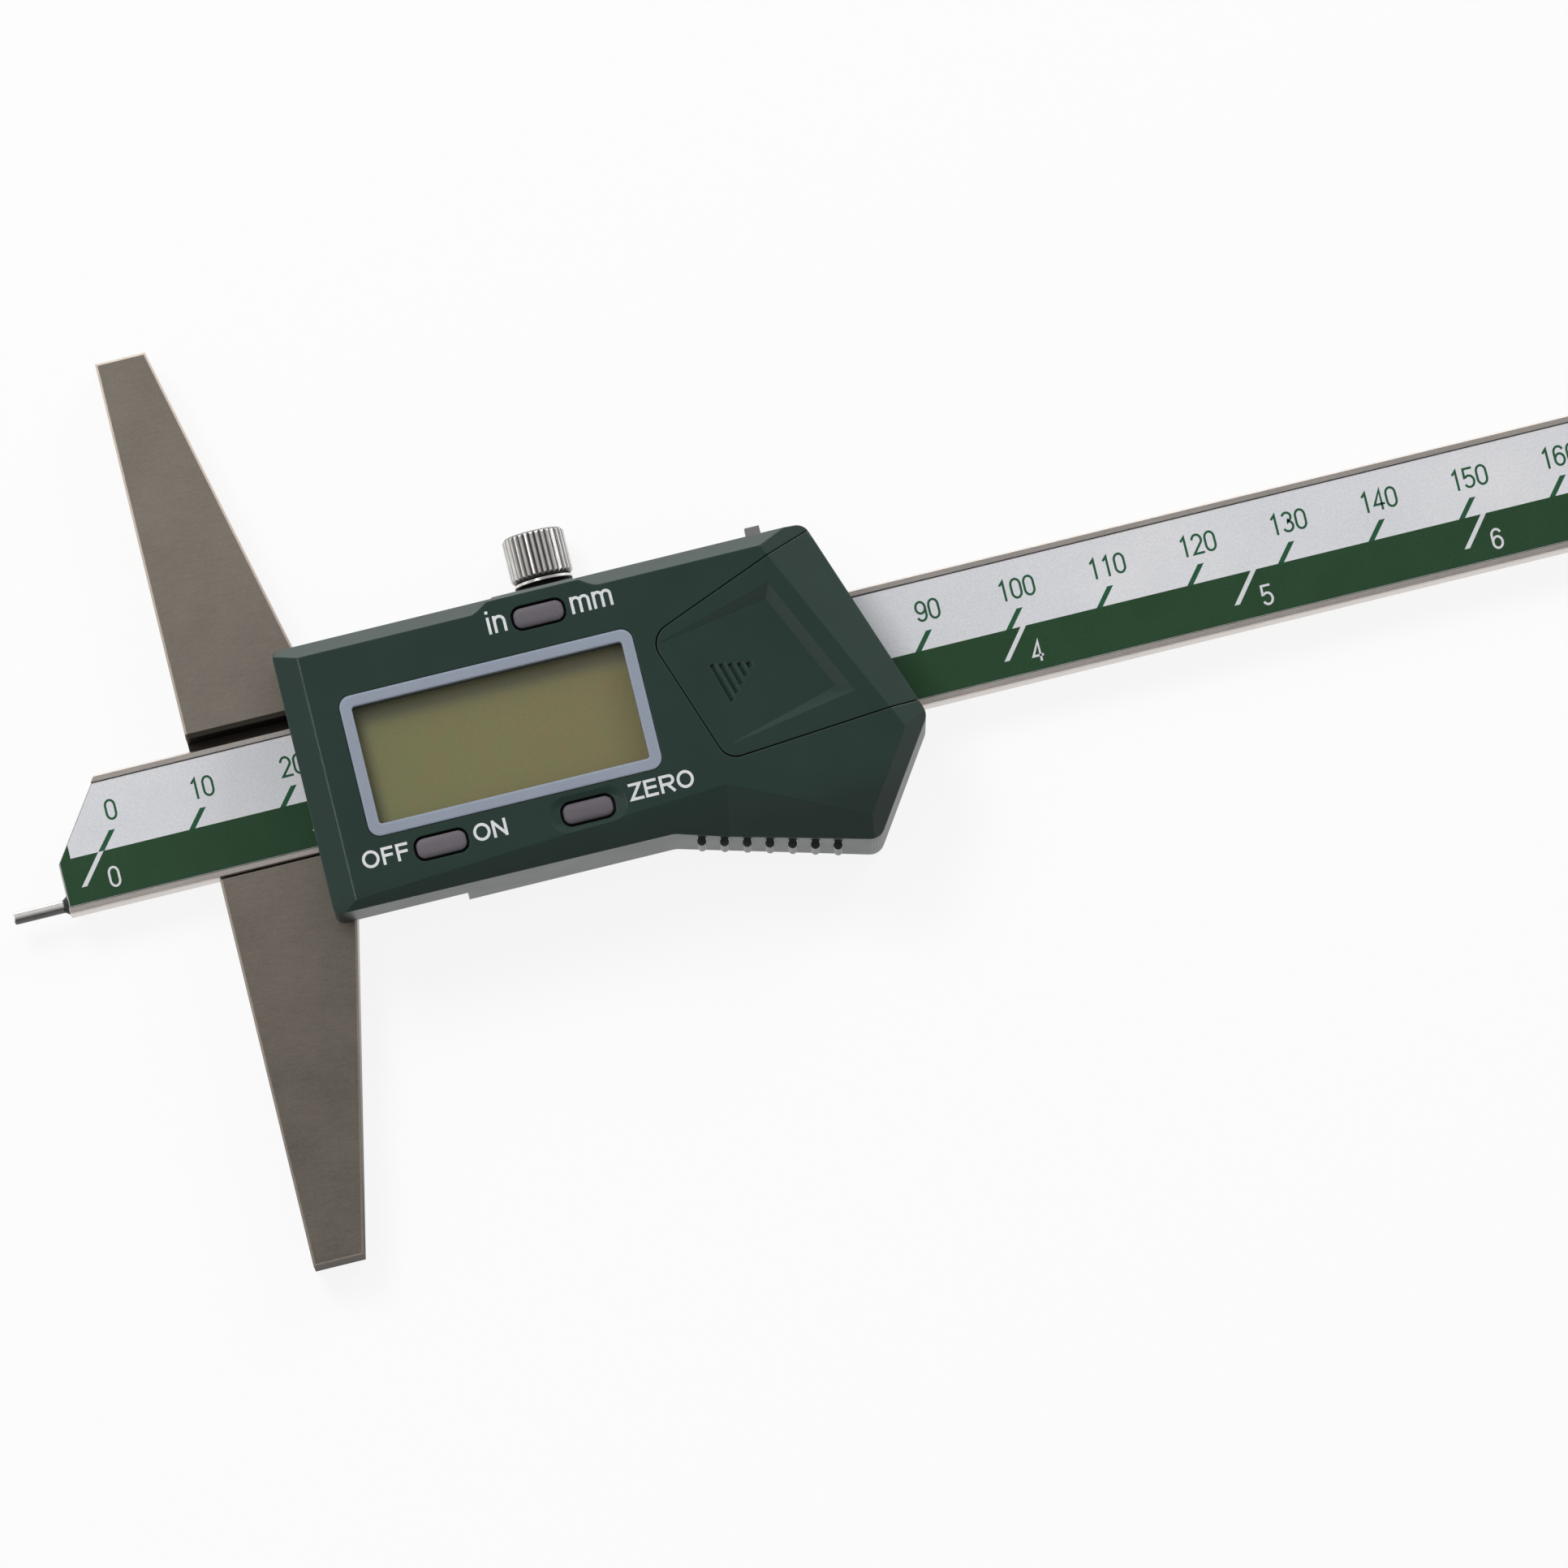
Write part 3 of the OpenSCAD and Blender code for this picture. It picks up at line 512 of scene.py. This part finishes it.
# %% Plates from outlines
INK_T = 0.012
FILM_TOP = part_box("scale_film")[1].z / MM


def new_piece(name, mesh, material, body):
    mesh.materials.clear()
    mesh.materials.append(FINISH[material])
    piece = bpy.data.objects.new(name, mesh)
    bpy.context.scene.collection.objects.link(piece)
    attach(piece, body)
    return piece


def plate(work, outline, z):
    """Adds the closed plate over a counter-clockwise outline, all in mm, to a bmesh."""
    low = [work.verts.new((x * MM, y * MM, z * MM)) for x, y in outline]
    high = [work.verts.new((x * MM, y * MM, (z + INK_T) * MM)) for x, y in outline]
    work.faces.new(list(reversed(low)))
    work.faces.new(high)
    for i in range(len(outline)):
        j = (i + 1) % len(outline)
        work.faces.new((low[i], low[j], high[j], high[i]))


def finished_mesh(work, name):
    bmesh.ops.recalc_face_normals(work, faces=work.faces)
    mesh = bpy.data.meshes.new(name)
    work.to_mesh(mesh)
    work.free()
    return mesh


# %% [markdown]
# ## The green half of the scale
# The film is white, with a painted shadow along its edges. Green ink covers its lower half, where
# the inches are, and the small corner at the slanted tip, and it stops just short of the edge.

# %% The green half
film_low, film_high = (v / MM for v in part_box("scale_film"))
SPLIT_Y = -1.16
WHITE_X = -15.0
SLANT = math.tan(math.radians(35))
TIP_HEIGHT = 4.85
CUT_EDGE = 0.08
tip_x, end_x = film_low.x + CUT_EDGE, film_high.x - CUT_EDGE
foot_y, tip_y = film_low.y + CUT_EDGE, film_low.y + TIP_HEIGHT
corner_y = tip_y + (WHITE_X - tip_x) / SLANT
green_outline = [(tip_x, foot_y), (end_x, foot_y), (end_x, SPLIT_Y),
                 (WHITE_X, SPLIT_Y), (WHITE_X, corner_y), (tip_x, tip_y)]
work = bmesh.new()
plate(work, green_outline, FILM_TOP)
new_piece("green_band", finished_mesh(work, "green_band"), "ink_green", "beam")
print("green band from", round(film_low.x, 2), "to", round(film_high.x, 2), "mm")

# %% [markdown]
# ## Ticks
# The marks of both scales are short slanted bars at an even pitch. Geometry Nodes suit them:
# a line of points, one bar on each, a shear for the slant. The sizes are named inputs, so the
# same tree prints millimetres and inches.

# %% The tick tree
def tick_tree():
    tree = bpy.data.node_groups.new("ticks", "GeometryNodeTree")
    face = tree.interface
    face.new_socket("Geometry", in_out="OUTPUT", socket_type="NodeSocketGeometry")
    for name, kind in (("Count", "Int"), ("Start", "Vector"), ("Pitch", "Vector"),
                       ("Size", "Vector"), ("Slant", "Float"), ("Ink", "Material")):
        face.new_socket(name, in_out="INPUT", socket_type="NodeSocket" + kind)
    given = tree.nodes.new("NodeGroupInput")

    def step(kind, **links):
        node = tree.nodes.new(kind)
        for key, source in links.items():
            tree.links.new(source, node.inputs[key.replace("_", " ")])
        return node

    bar = step("GeometryNodeMeshCube", Size=given.outputs["Size"])
    here = step("GeometryNodeInputPosition")
    split = step("ShaderNodeSeparateXYZ", Vector=here.outputs[0])
    lean = tree.nodes.new("ShaderNodeMath")
    lean.operation = "MULTIPLY"
    tree.links.new(split.outputs["Y"], lean.inputs[0])
    tree.links.new(given.outputs["Slant"], lean.inputs[1])
    shift = step("ShaderNodeCombineXYZ", X=lean.outputs[0])
    sheared = step("GeometryNodeSetPosition", Geometry=bar.outputs["Mesh"],
                   Offset=shift.outputs[0])
    row = step("GeometryNodeMeshLine", Count=given.outputs["Count"],
               Start_Location=given.outputs["Start"], Offset=given.outputs["Pitch"])
    placed = step("GeometryNodeInstanceOnPoints", Points=row.outputs["Mesh"],
                  Instance=sheared.outputs["Geometry"])
    real = step("GeometryNodeRealizeInstances", Geometry=placed.outputs["Instances"])
    inked = step("GeometryNodeSetMaterial", Geometry=real.outputs["Geometry"],
                 Material=given.outputs["Ink"])
    last = tree.nodes.new("NodeGroupOutput")
    tree.links.new(inked.outputs["Geometry"], last.inputs[0])
    return tree


TICKS = tick_tree()


def bake_ticks(name, values):
    """Runs the tick tree with these inputs and returns the result as a plain mesh."""
    rough = bpy.data.objects.new(name + "_rough", bpy.data.meshes.new(name + "_rough"))
    bpy.context.scene.collection.objects.link(rough)
    modifier = rough.modifiers.new("ticks", "NODES")
    modifier.node_group = TICKS
    for socket in TICKS.interface.items_tree:
        if socket.in_out == "INPUT" and socket.name in values:
            modifier[socket.identifier] = values[socket.name]
    graph = bpy.context.evaluated_depsgraph_get()
    mesh = bpy.data.meshes.new_from_object(rough.evaluated_get(graph))
    mesh.name = name
    bpy.data.objects.remove(rough)
    return mesh


def tick_row(name, ink_name, count, first_x, pitch, low_y, high_y, width, lean, z):
    """Ticks from low_y to high_y, the first centred on first_x at its middle height."""
    middle = (low_y + high_y) / 2
    mesh = bake_ticks(name, {
        "Count": count, "Start": (first_x * MM, middle * MM, (z + INK_T / 2) * MM),
        "Pitch": (pitch * MM, 0, 0), "Size": (width * MM, (high_y - low_y) * MM, INK_T * MM),
        "Slant": lean, "Ink": FINISH[ink_name]})
    new_piece(name, mesh, ink_name, "beam")
    print(name, count, "marks,", len(mesh.polygons), "faces")


# %% [markdown]
# ## The two rows of marks
# Millimetre marks stand on the white half every 10 mm, inch marks hang in the green half every
# 25.4 mm. Both lean the same way. Each row is placed by one point on its zero mark.

# %% The two rows of marks
MM_PITCH, INCH_PITCH = 10.0, 25.4
MM_COUNT, INCH_COUNT = 27, 11
MM_LEAN, INCH_LEAN = 0.82, 0.79
MM_WIDTH, INCH_WIDTH = 0.66, 0.60
MM_LOW, MM_HIGH = SPLIT_Y, 0.85
INCH_LOW, INCH_HIGH = -4.45, SPLIT_Y
MM_ZERO, INCH_ZERO = (-11.4, -0.9), (-11.68, -1.2)
mm_first = MM_ZERO[0] + ((MM_LOW + MM_HIGH) / 2 - MM_ZERO[1]) * MM_LEAN
inch_first = INCH_ZERO[0] + ((INCH_LOW + INCH_HIGH) / 2 - INCH_ZERO[1]) * INCH_LEAN
tick_row("mm_marks", "ink_tick", MM_COUNT, mm_first, MM_PITCH, MM_LOW, MM_HIGH, MM_WIDTH,
         MM_LEAN, FILM_TOP)
tick_row("inch_marks", "ink_white", INCH_COUNT, inch_first, INCH_PITCH, INCH_LOW, INCH_HIGH,
         INCH_WIDTH, INCH_LEAN, FILM_TOP + INK_T)

# %% [markdown]
# ## Numerals
# The numbers are narrow, with strokes of one width, as a screen printer's stencil has them. No
# built-in font looks like that, so each digit is a few strokes along lines and arcs in a box
# of its own, and every stroke becomes a thin plate.

# %% Strokes of the digits
DIGIT_W, DIGIT_H, DIGIT_STEP, STROKE = 1.26, 2.30, 1.42, 0.25


def arc(cx, cy, rx, ry, start, end, steps=10):
    """Points of an elliptic arc, in degrees, counter-clockwise when end is the larger."""
    angles = [math.radians(start + (end - start) * k / steps) for k in range(steps + 1)]
    return [(cx + rx * math.cos(a), cy + ry * math.sin(a)) for a in angles]


def digit_strokes():
    """Centre lines of the ten digits in mm, from the lower left corner of their box."""
    a, b = STROKE / 2, DIGIT_H - STROKE / 2
    left, right = a, DIGIT_W - a
    mid, half = DIGIT_W / 2, (DIGIT_W - STROKE) / 2
    cap = 0.62
    waist = 1.22
    top_r, low_r = (b - waist) / 2, (waist - a) / 2
    bowl = (waist + 0.16 - a) / 2
    zero = arc(mid, b - cap, half, cap, 0, 180) + arc(mid, a + cap, half, cap, 180, 360)
    six_bowl = arc(mid, a + bowl, half, bowl, 0, 360, 20)[:-1]
    nine_bowl = [(DIGIT_W - x, DIGIT_H - y) for x, y in six_bowl]
    six_tail = arc(mid, b - cap, half, cap, 22, 180) + [(left, a + bowl)]
    return {
        "0": [(zero, True)],
        "1": [([(mid + 0.12, a - STROKE / 2), (mid + 0.12, b), (mid - 0.30, b - 0.42)], False)],
        "2": [(arc(mid, b - cap, half, cap, 170, -20) + [(left, a), (right + a, a)], False)],
        "3": [(arc(mid - 0.04, waist + top_r, half - 0.03, top_r, 160, -90)
               + arc(mid - 0.04, a + low_r, half + 0.03, low_r, 90, -160), False)],
        "4": [([(right - 0.22, a - STROKE / 2), (right - 0.22, b), (left, a + 0.52),
                (right + a, a + 0.52)], False)],
        "5": [([(right, b), (left + 0.06, b), (left + 0.02, waist)]
               + arc(mid - 0.02, a + bowl, half + 0.02, bowl, 130, -155, 14), False)],
        "6": [(six_bowl, True), (six_tail, False)],
        "7": [([(left - a, b), (right, b), (mid - 0.15, a - STROKE / 2)], False)],
        "8": [(arc(mid, waist + top_r, half - 0.03, top_r, 0, 360, 18)[:-1], True),
              (arc(mid, a + low_r, half, low_r, 0, 360, 18)[:-1], True)],
        "9": [(nine_bowl, True), ([(DIGIT_W - x, DIGIT_H - y) for x, y in six_tail], False)],
    }


DIGITS = digit_strokes()
print("digits drawn:", "".join(sorted(DIGITS)))

# %% [markdown]
# ## From stroke to plate
# A stroke's plate is a ribbon: at each point the two rims step out to both sides along the
# line that halves the corner. Top, bottom and rims are joined quad by quad, and a closed
# stroke meets itself. Where strokes cross, each is a hair thicker than the one before, so that
# no two tops lie in one plane.

# %% From stroke to plate
LAYER = 0.002
MITRE = 0.35


def ribbon(work, points, closed, width, z, thick):
    """Adds the closed ribbon of this width along the points, in mm, to a bmesh."""
    n = len(points)
    corners = []
    lower, upper = Vector((0, 0, z)), Vector((0, 0, z + thick))
    for i, here in enumerate(points):
        here = Vector((*here, 0))
        before = Vector((*points[(i - 1) % n], 0)) if closed or i > 0 else None
        after = Vector((*points[(i + 1) % n], 0)) if closed or i < n - 1 else None
        a = (here - before).normalized() if before else (after - here).normalized()
        b = (after - here).normalized() if after else a
        side_a, side_b = Vector((-a.y, a.x, 0)), Vector((-b.y, b.x, 0))
        out = (side_a + side_b).normalized()
        out *= width / 2 / max(MITRE, out.dot(side_a))
        corners.append([work.verts.new((p * MM).to_tuple()) for p in
                        (here + out + lower, here - out + lower,
                         here - out + upper, here + out + upper)])
    for i in range(n if closed else n - 1):
        p, q = corners[i], corners[(i + 1) % n]
        for k in range(4):
            work.faces.new((p[k], p[(k + 1) % 4], q[(k + 1) % 4], q[k]))
    if not closed:
        work.faces.new(corners[0])
        work.faces.new(list(reversed(corners[-1])))


def strokes(work, shape, x0, y0, width, z):
    """Prints the strokes of one digit or letter with its lower left corner at x0, y0."""
    for layer, (points, closed) in enumerate(shape):
        moved = [(x0 + x, y0 + y) for x, y in points]
        ribbon(work, moved, closed, width, z, INK_T + LAYER * layer)


def numbers(name, ink_name, labels, low_y, z):
    """Prints each number, given as its text and the x of its middle."""
    work = bmesh.new()
    for text, centre in labels:
        left = centre - (DIGIT_STEP * (len(text) - 1) + DIGIT_W) / 2
        for k, digit in enumerate(text):
            strokes(work, DIGITS[digit], left + k * DIGIT_STEP, low_y, STROKE, z)
    piece = new_piece(name, finished_mesh(work, name), ink_name, "beam")
    print(name, len(labels), "numbers,", len(piece.data.polygons), "faces")


# %% [markdown]
# ## The numbers
# Each number stands a little to the right of its mark, and the millimetre numbers count by
# ten as far as the scale runs.

# %% The numbers
MM_FOOT_Y, INCH_FOOT_Y = 1.85, -5.27
MM_SHIFT, INCH_SHIFT = {1: 1.8, 2: 1.8, 3: 1.57}, 0.81
mm_labels, inch_labels = [], []
for k in range(MM_COUNT):
    text = str(10 * k)
    mm_labels.append((text, MM_ZERO[0] + MM_PITCH * k + MM_SHIFT[len(text)]))
for k in range(INCH_COUNT):
    inch_labels.append((str(k), INCH_ZERO[0] + INCH_PITCH * k + INCH_SHIFT))
numbers("mm_numbers", "ink_tick", mm_labels, MM_FOOT_Y, FILM_TOP)
numbers("inch_numbers", "ink_white", inch_labels, INCH_FOOT_Y, FILM_TOP + INK_T)

# %% [markdown]
# ## Button names
# The names by the buttons are printed on the housing in white, in letters of one stroke width
# like the numbers. Blender's own font is too wide for them, so each letter is drawn with the
# same ribbons, in a box of its own that was read off the picture in mm.

# %% Strokes of the letters
FACE_Z = 16.0
LETTER_STROKE = 0.31


def letter_strokes(letter, w, h):
    """Centre lines of one letter in a box w by h mm, each with whether it's closed."""
    a = LETTER_STROKE / 2
    right, top, waist = w - a, h - a, 0.52 * h
    bowl = (top - 0.47 * h) / 2
    bowl_x, bowl_foot = w - bowl - a, top - 2 * bowl

    def arch(x0, x1, rise=0.30):
        ry = rise * h
        return arc((x0 + x1) / 2, top - ry, (x1 - x0) / 2, ry, 180, 0, 12) + [(x1, 0)]

    stem = [(a, 0), (a, h)]
    shapes = {
        "O": [(arc(w / 2, h / 2, w / 2 - a, h / 2 - a, 0, 360, 36)[:-1], True)],
        "F": [([(a, 0), (a, top), (w, top)], False), ([(a, waist), (0.92 * w, waist)], False)],
        "E": [([(w, top), (a, top), (a, a), (w, a)], False),
              ([(a, waist), (0.95 * w, waist)], False)],
        "N": [(stem, False), ([(a, top), (right, a)], False), ([(right, 0), (right, h)], False)],
        "Z": [([(0.05 * w, top), (right - 0.06, top), (a + 0.06, a), (w, a)], False)],
        "R": [(stem, False),
              ([(a, top), (bowl_x, top)] + arc(bowl_x, top - bowl, bowl, bowl, 80, -80, 12)
               + [(bowl_x, bowl_foot), (a, bowl_foot)], False),
              ([(0.48 * w, bowl_foot), (right, 0)], False)],
        "i": [([(a, 0), (a, 0.73 * h)], False), ([(a, h - 0.32), (a, h)], False)],
        "n": [(stem, False), (arch(a, right), False)],
        "m": [(stem, False), (arch(a, w / 2, 0.24), False),
              (arch(w / 2, right, 0.24), False)],
    }
    return shapes[letter]


# %% [markdown]
# ## Where the letters stand
# Each row gives a letter, the left and right of its box and its height over the base line.

# %% Where the letters stand
WORDS = {
    "name_in": (10.14, [("i", 34.16, 34.50, 2.52), ("n", 34.82, 36.17, 1.86)]),
    "name_mm": (10.14, [("m", 43.27, 45.38, 1.86), ("m", 45.67, 47.77, 1.86)]),
    "name_off": (-11.15, [("O", 15.30, 17.17, 1.90), ("F", 17.46, 18.75, 1.88),
                          ("F", 19.04, 20.37, 1.87)]),
    "name_on": (-11.13, [("O", 27.46, 29.30, 1.91), ("N", 29.53, 31.09, 1.87)]),
    "name_zero": (-10.81, [("Z", 44.50, 46.04, 1.87), ("E", 46.22, 47.62, 1.87),
                           ("R", 47.92, 49.55, 1.90), ("O", 49.77, 51.60, 1.93)]),
}


def word(name, low_y, letters):
    work = bmesh.new()
    for letter, x0, x1, height in letters:
        shape = letter_strokes(letter, x1 - x0, height)
        strokes(work, shape, x0, low_y, LETTER_STROKE, FACE_Z)
    new_piece(name, finished_mesh(work, name), "ink_legend", "slider")


for name, (low_y, letters) in WORDS.items():
    word(name, low_y, letters)
print("words:", ", ".join("".join(row[0] for row in letters) for _, letters in WORDS.values()))

# %% [markdown]
# ## Buttons
# The drawing's buttons have a flat top and a sharp rim. The real ones are soft little pillows,
# so a copy of each gets its rim rounded by a bevel, rings of vertices on the top by insets, and
# then the top is bent down towards its ends. The copy stands for the drawing's button.

# %% Pillow buttons
RIM, CROWN = 0.50, 0.26
RIM_STEPS, RINGS, RING_STEP = 7, 2, 0.2


def highest_flat(work):
    """The topmost face that looks straight up."""
    flat = (face for face in work.faces if face.normal.z > 0.99)
    return max(flat, key=lambda face: face.calc_center_median().z)


def pillow_button(node):
    work = bmesh.new()
    work.from_mesh(NODES[node].data)
    bmesh.ops.remove_doubles(work, verts=work.verts, dist=0.001 * MM)
    bmesh.ops.dissolve_limit(work, angle_limit=math.radians(0.5), verts=work.verts,
                             edges=work.edges)
    top = max(v.co.z for v in work.verts)
    bmesh.ops.bevel(work, geom=list(highest_flat(work).edges), offset=RIM * MM,
                    offset_type="OFFSET", segments=RIM_STEPS, profile=0.5,
                    affect="EDGES", clamp_overlap=True)
    lid = highest_flat(work)
    for _ in range(RINGS):
        bmesh.ops.inset_region(work, faces=[lid], thickness=RING_STEP * MM, use_even_offset=True)
    low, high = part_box(node)
    centre, half = (low + high) / 2, (high - low) / 2
    rim_z = top - RIM * MM
    for v in work.verts:
        if v.co.z > rim_z:
            away = ((v.co.x - centre.x) / half.x) ** 2 + ((v.co.y - centre.y) / half.y) ** 2
            v.co.z -= CROWN * MM * away * (v.co.z - rim_z) / (top - rim_z)
    for face in work.faces:
        face.smooth = face.calc_center_median().z > rim_z
    name = node + "_pillow"
    piece = new_piece(name, finished_mesh(work, name), "button_mauve", node)
    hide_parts(node)
    print(piece.name, len(piece.data.polygons), "faces")


for node in ("unit_button", "power_button", "zero_button"):
    pillow_button(node)

# %% [markdown]
# ## Floor and light
# The gauge lies on white paper. The paper scatters light like paper, but to the camera and in
# reflections it also glows, so that it comes out as pale as the picture's ground and still
# keeps a soft shadow. In reflections there's a pool of light on the paper behind the gauge,
# which the housing's upper chamfer mirrors, and gloom in front, for the facets of the nose.

# %% Floor
FLOOR_SIZE, FLOOR_DROP = 6.0, 0.1
GLOW = 0.88
POOL, POOL_LIGHT = (18.0, 60.0), 2.6
GLOOM, GLOOM_LIGHT = (-22.0, -45.0), 0.25


def grey(level):
    return rgb(level, level, level)


def ray_kinds(sheet):
    """1 for a camera, a glossy and a transmission ray; the other rays light the surfaces."""
    return [sheet.add("ShaderNodeLightPath", {}, {}, name) for name in
            ("Is Camera Ray", "Is Glossy Ray", "Is Transmission Ray")]


def floor():
    material = bpy.data.materials.new("paper")
    material.use_nodes = True
    sheet = Sheet(material.node_tree)
    shader = material.node_tree.nodes["Principled BSDF"]
    end = material.node_tree.nodes["Material Output"]
    fibre = grain(sheet, 2.0, detail=3.0)
    feed(sheet, shader, Base_Color=sheet.blend(fibre, grey(0.80), grey(0.83)))
    shader.inputs["Roughness"].default_value = 0.9
    camera_ray, glossy_ray, clear_ray = ray_kinds(sheet)
    seen = (camera_ray + glossy_ray + clear_ray).clip()
    light = sheet.blend(zone(sheet, "Y", *POOL) * glossy_ray, grey(1.0), grey(POOL_LIGHT))
    light = sheet.blend(zone(sheet, "Y", *GLOOM) * glossy_ray, light, grey(GLOOM_LIGHT))
    glow = sheet.add("ShaderNodeEmission", {}, {"Color": light, "Strength": 1.0})
    paper = Wire(sheet, shader.outputs[0])
    both = sheet.add("ShaderNodeMixShader", {}, {0: GLOW * seen, 1: paper, 2: glow})
    sheet.tree.links.new(both.socket, end.inputs["Surface"])
    work = bmesh.new()
    bmesh.ops.create_grid(work, x_segments=1, y_segments=1, size=FLOOR_SIZE / 2)
    bmesh.ops.translate(work, vec=(0, 0, -FLOOR_DROP * MM), verts=work.verts)
    mesh = bpy.data.meshes.new("floor")
    work.to_mesh(mesh)
    work.free()
    mesh.materials.append(material)
    ground = bpy.data.objects.new("floor", mesh)
    bpy.context.scene.collection.objects.link(ground)


floor()
print("floor", FLOOR_SIZE, "m across")

# %% [markdown]
# ## World
# The sky of the studio lights the gauge almost evenly, a little more from behind. What metal
# and gloss see of it is another matter: dim overhead, dimmer towards the front, and bright
# near the horizon, most of all behind the gauge and a bit on the left. This keeps flat steel
# from turning white and gives every edge a light and a dark side.

# %% World
FILL, FILL_BACK = 0.36, 0.12
ZENITH = 0.31
SIDES, BACK, FRONT = 0.16, 0.50, 0.60
HORIZON, WINDOW, BEHIND = 1.00, 0.30, 1.40
HAZE_TOP, HAZE_LOW, HAZE_DIP = 0.63, 0.30, 0.35


def studio_sky():
    world = bpy.data.worlds.new("studio")
    bpy.context.scene.world = world
    world.use_nodes = True
    sheet = Sheet(world.node_tree)
    background = world.node_tree.nodes["Background"]
    camera_ray, glossy_ray, clear_ray = ray_kinds(sheet)
    way = sheet.add("ShaderNodeTexCoord", {}, {}, "Generated")
    x, y, z = (sheet.add("ShaderNodeSeparateXYZ", {}, {"Vector": way}, axis) for axis in "XYZ")
    left, back, front = (0.0 - x).clip(), y.clip(), (0.0 - y).clip()
    side = sheet.add("ShaderNodeMath", {"operation": "ABSOLUTE"}, {0: x})
    ceiling = ZENITH + SIDES * side + z * (BACK * back - FRONT * front)
    low = band(z + HAZE_DIP * back, HAZE_TOP, HAZE_LOW).clip()
    horizon = HORIZON + WINDOW * left + BEHIND * back * back
    mirrored = (1.0 - low) * ceiling + low * horizon
    white = (camera_ray + clear_ray).clip()
    fill = FILL + FILL_BACK * y
    strength = white + (1.0 - white) * (glossy_ray * mirrored + (1.0 - glossy_ray) * fill)
    sheet.tree.links.new(strength.socket, background.inputs["Strength"])
    background.inputs["Color"].default_value = grey(1.0)


studio_sky()
print("sky fill", FILL, "overhead", ZENITH)

# %% [markdown]
# ## Lamps
# The display's frame throws a soft shadow at its top and a fainter one at both sides, and the
# facets at the front are the darkest. So the main light is a large soft lamp high up behind
# the gauge on its left, helped by a weaker one on its right. They only light the surfaces:
# what gloss and metal mirror is the sky. A small lamp high on the left is mirrored too, and
# draws the thin light line along the left crease of the housing.

# %% Lamps
AIM = Vector((0.03, 0, 0))


def soft_lamp(name, place, size, power, mirrored=False):
    """A round lamp of this size in metres and power in watts that looks at the gauge."""
    data = bpy.data.lights.new(name, "AREA")
    data.shape, data.size, data.energy = "DISK", size, power
    lamp = bpy.data.objects.new(name, data)
    lamp.location = place
    lamp.rotation_euler = (AIM - Vector(place)).to_track_quat("-Z", "Y").to_euler()
    lamp.visible_glossy = mirrored
    bpy.context.scene.collection.objects.link(lamp)


soft_lamp("key", (-0.28, 0.66, 0.95), 0.5, 8.2)
soft_lamp("side", (0.80, 0.65, 0.65), 0.5, 3.5)
soft_lamp("glint", (-0.40, 0.15, 1.06), 0.14, 0.6, mirrored=True)
bpy.context.scene.view_settings.view_transform = "Standard"
print("lamps lit")
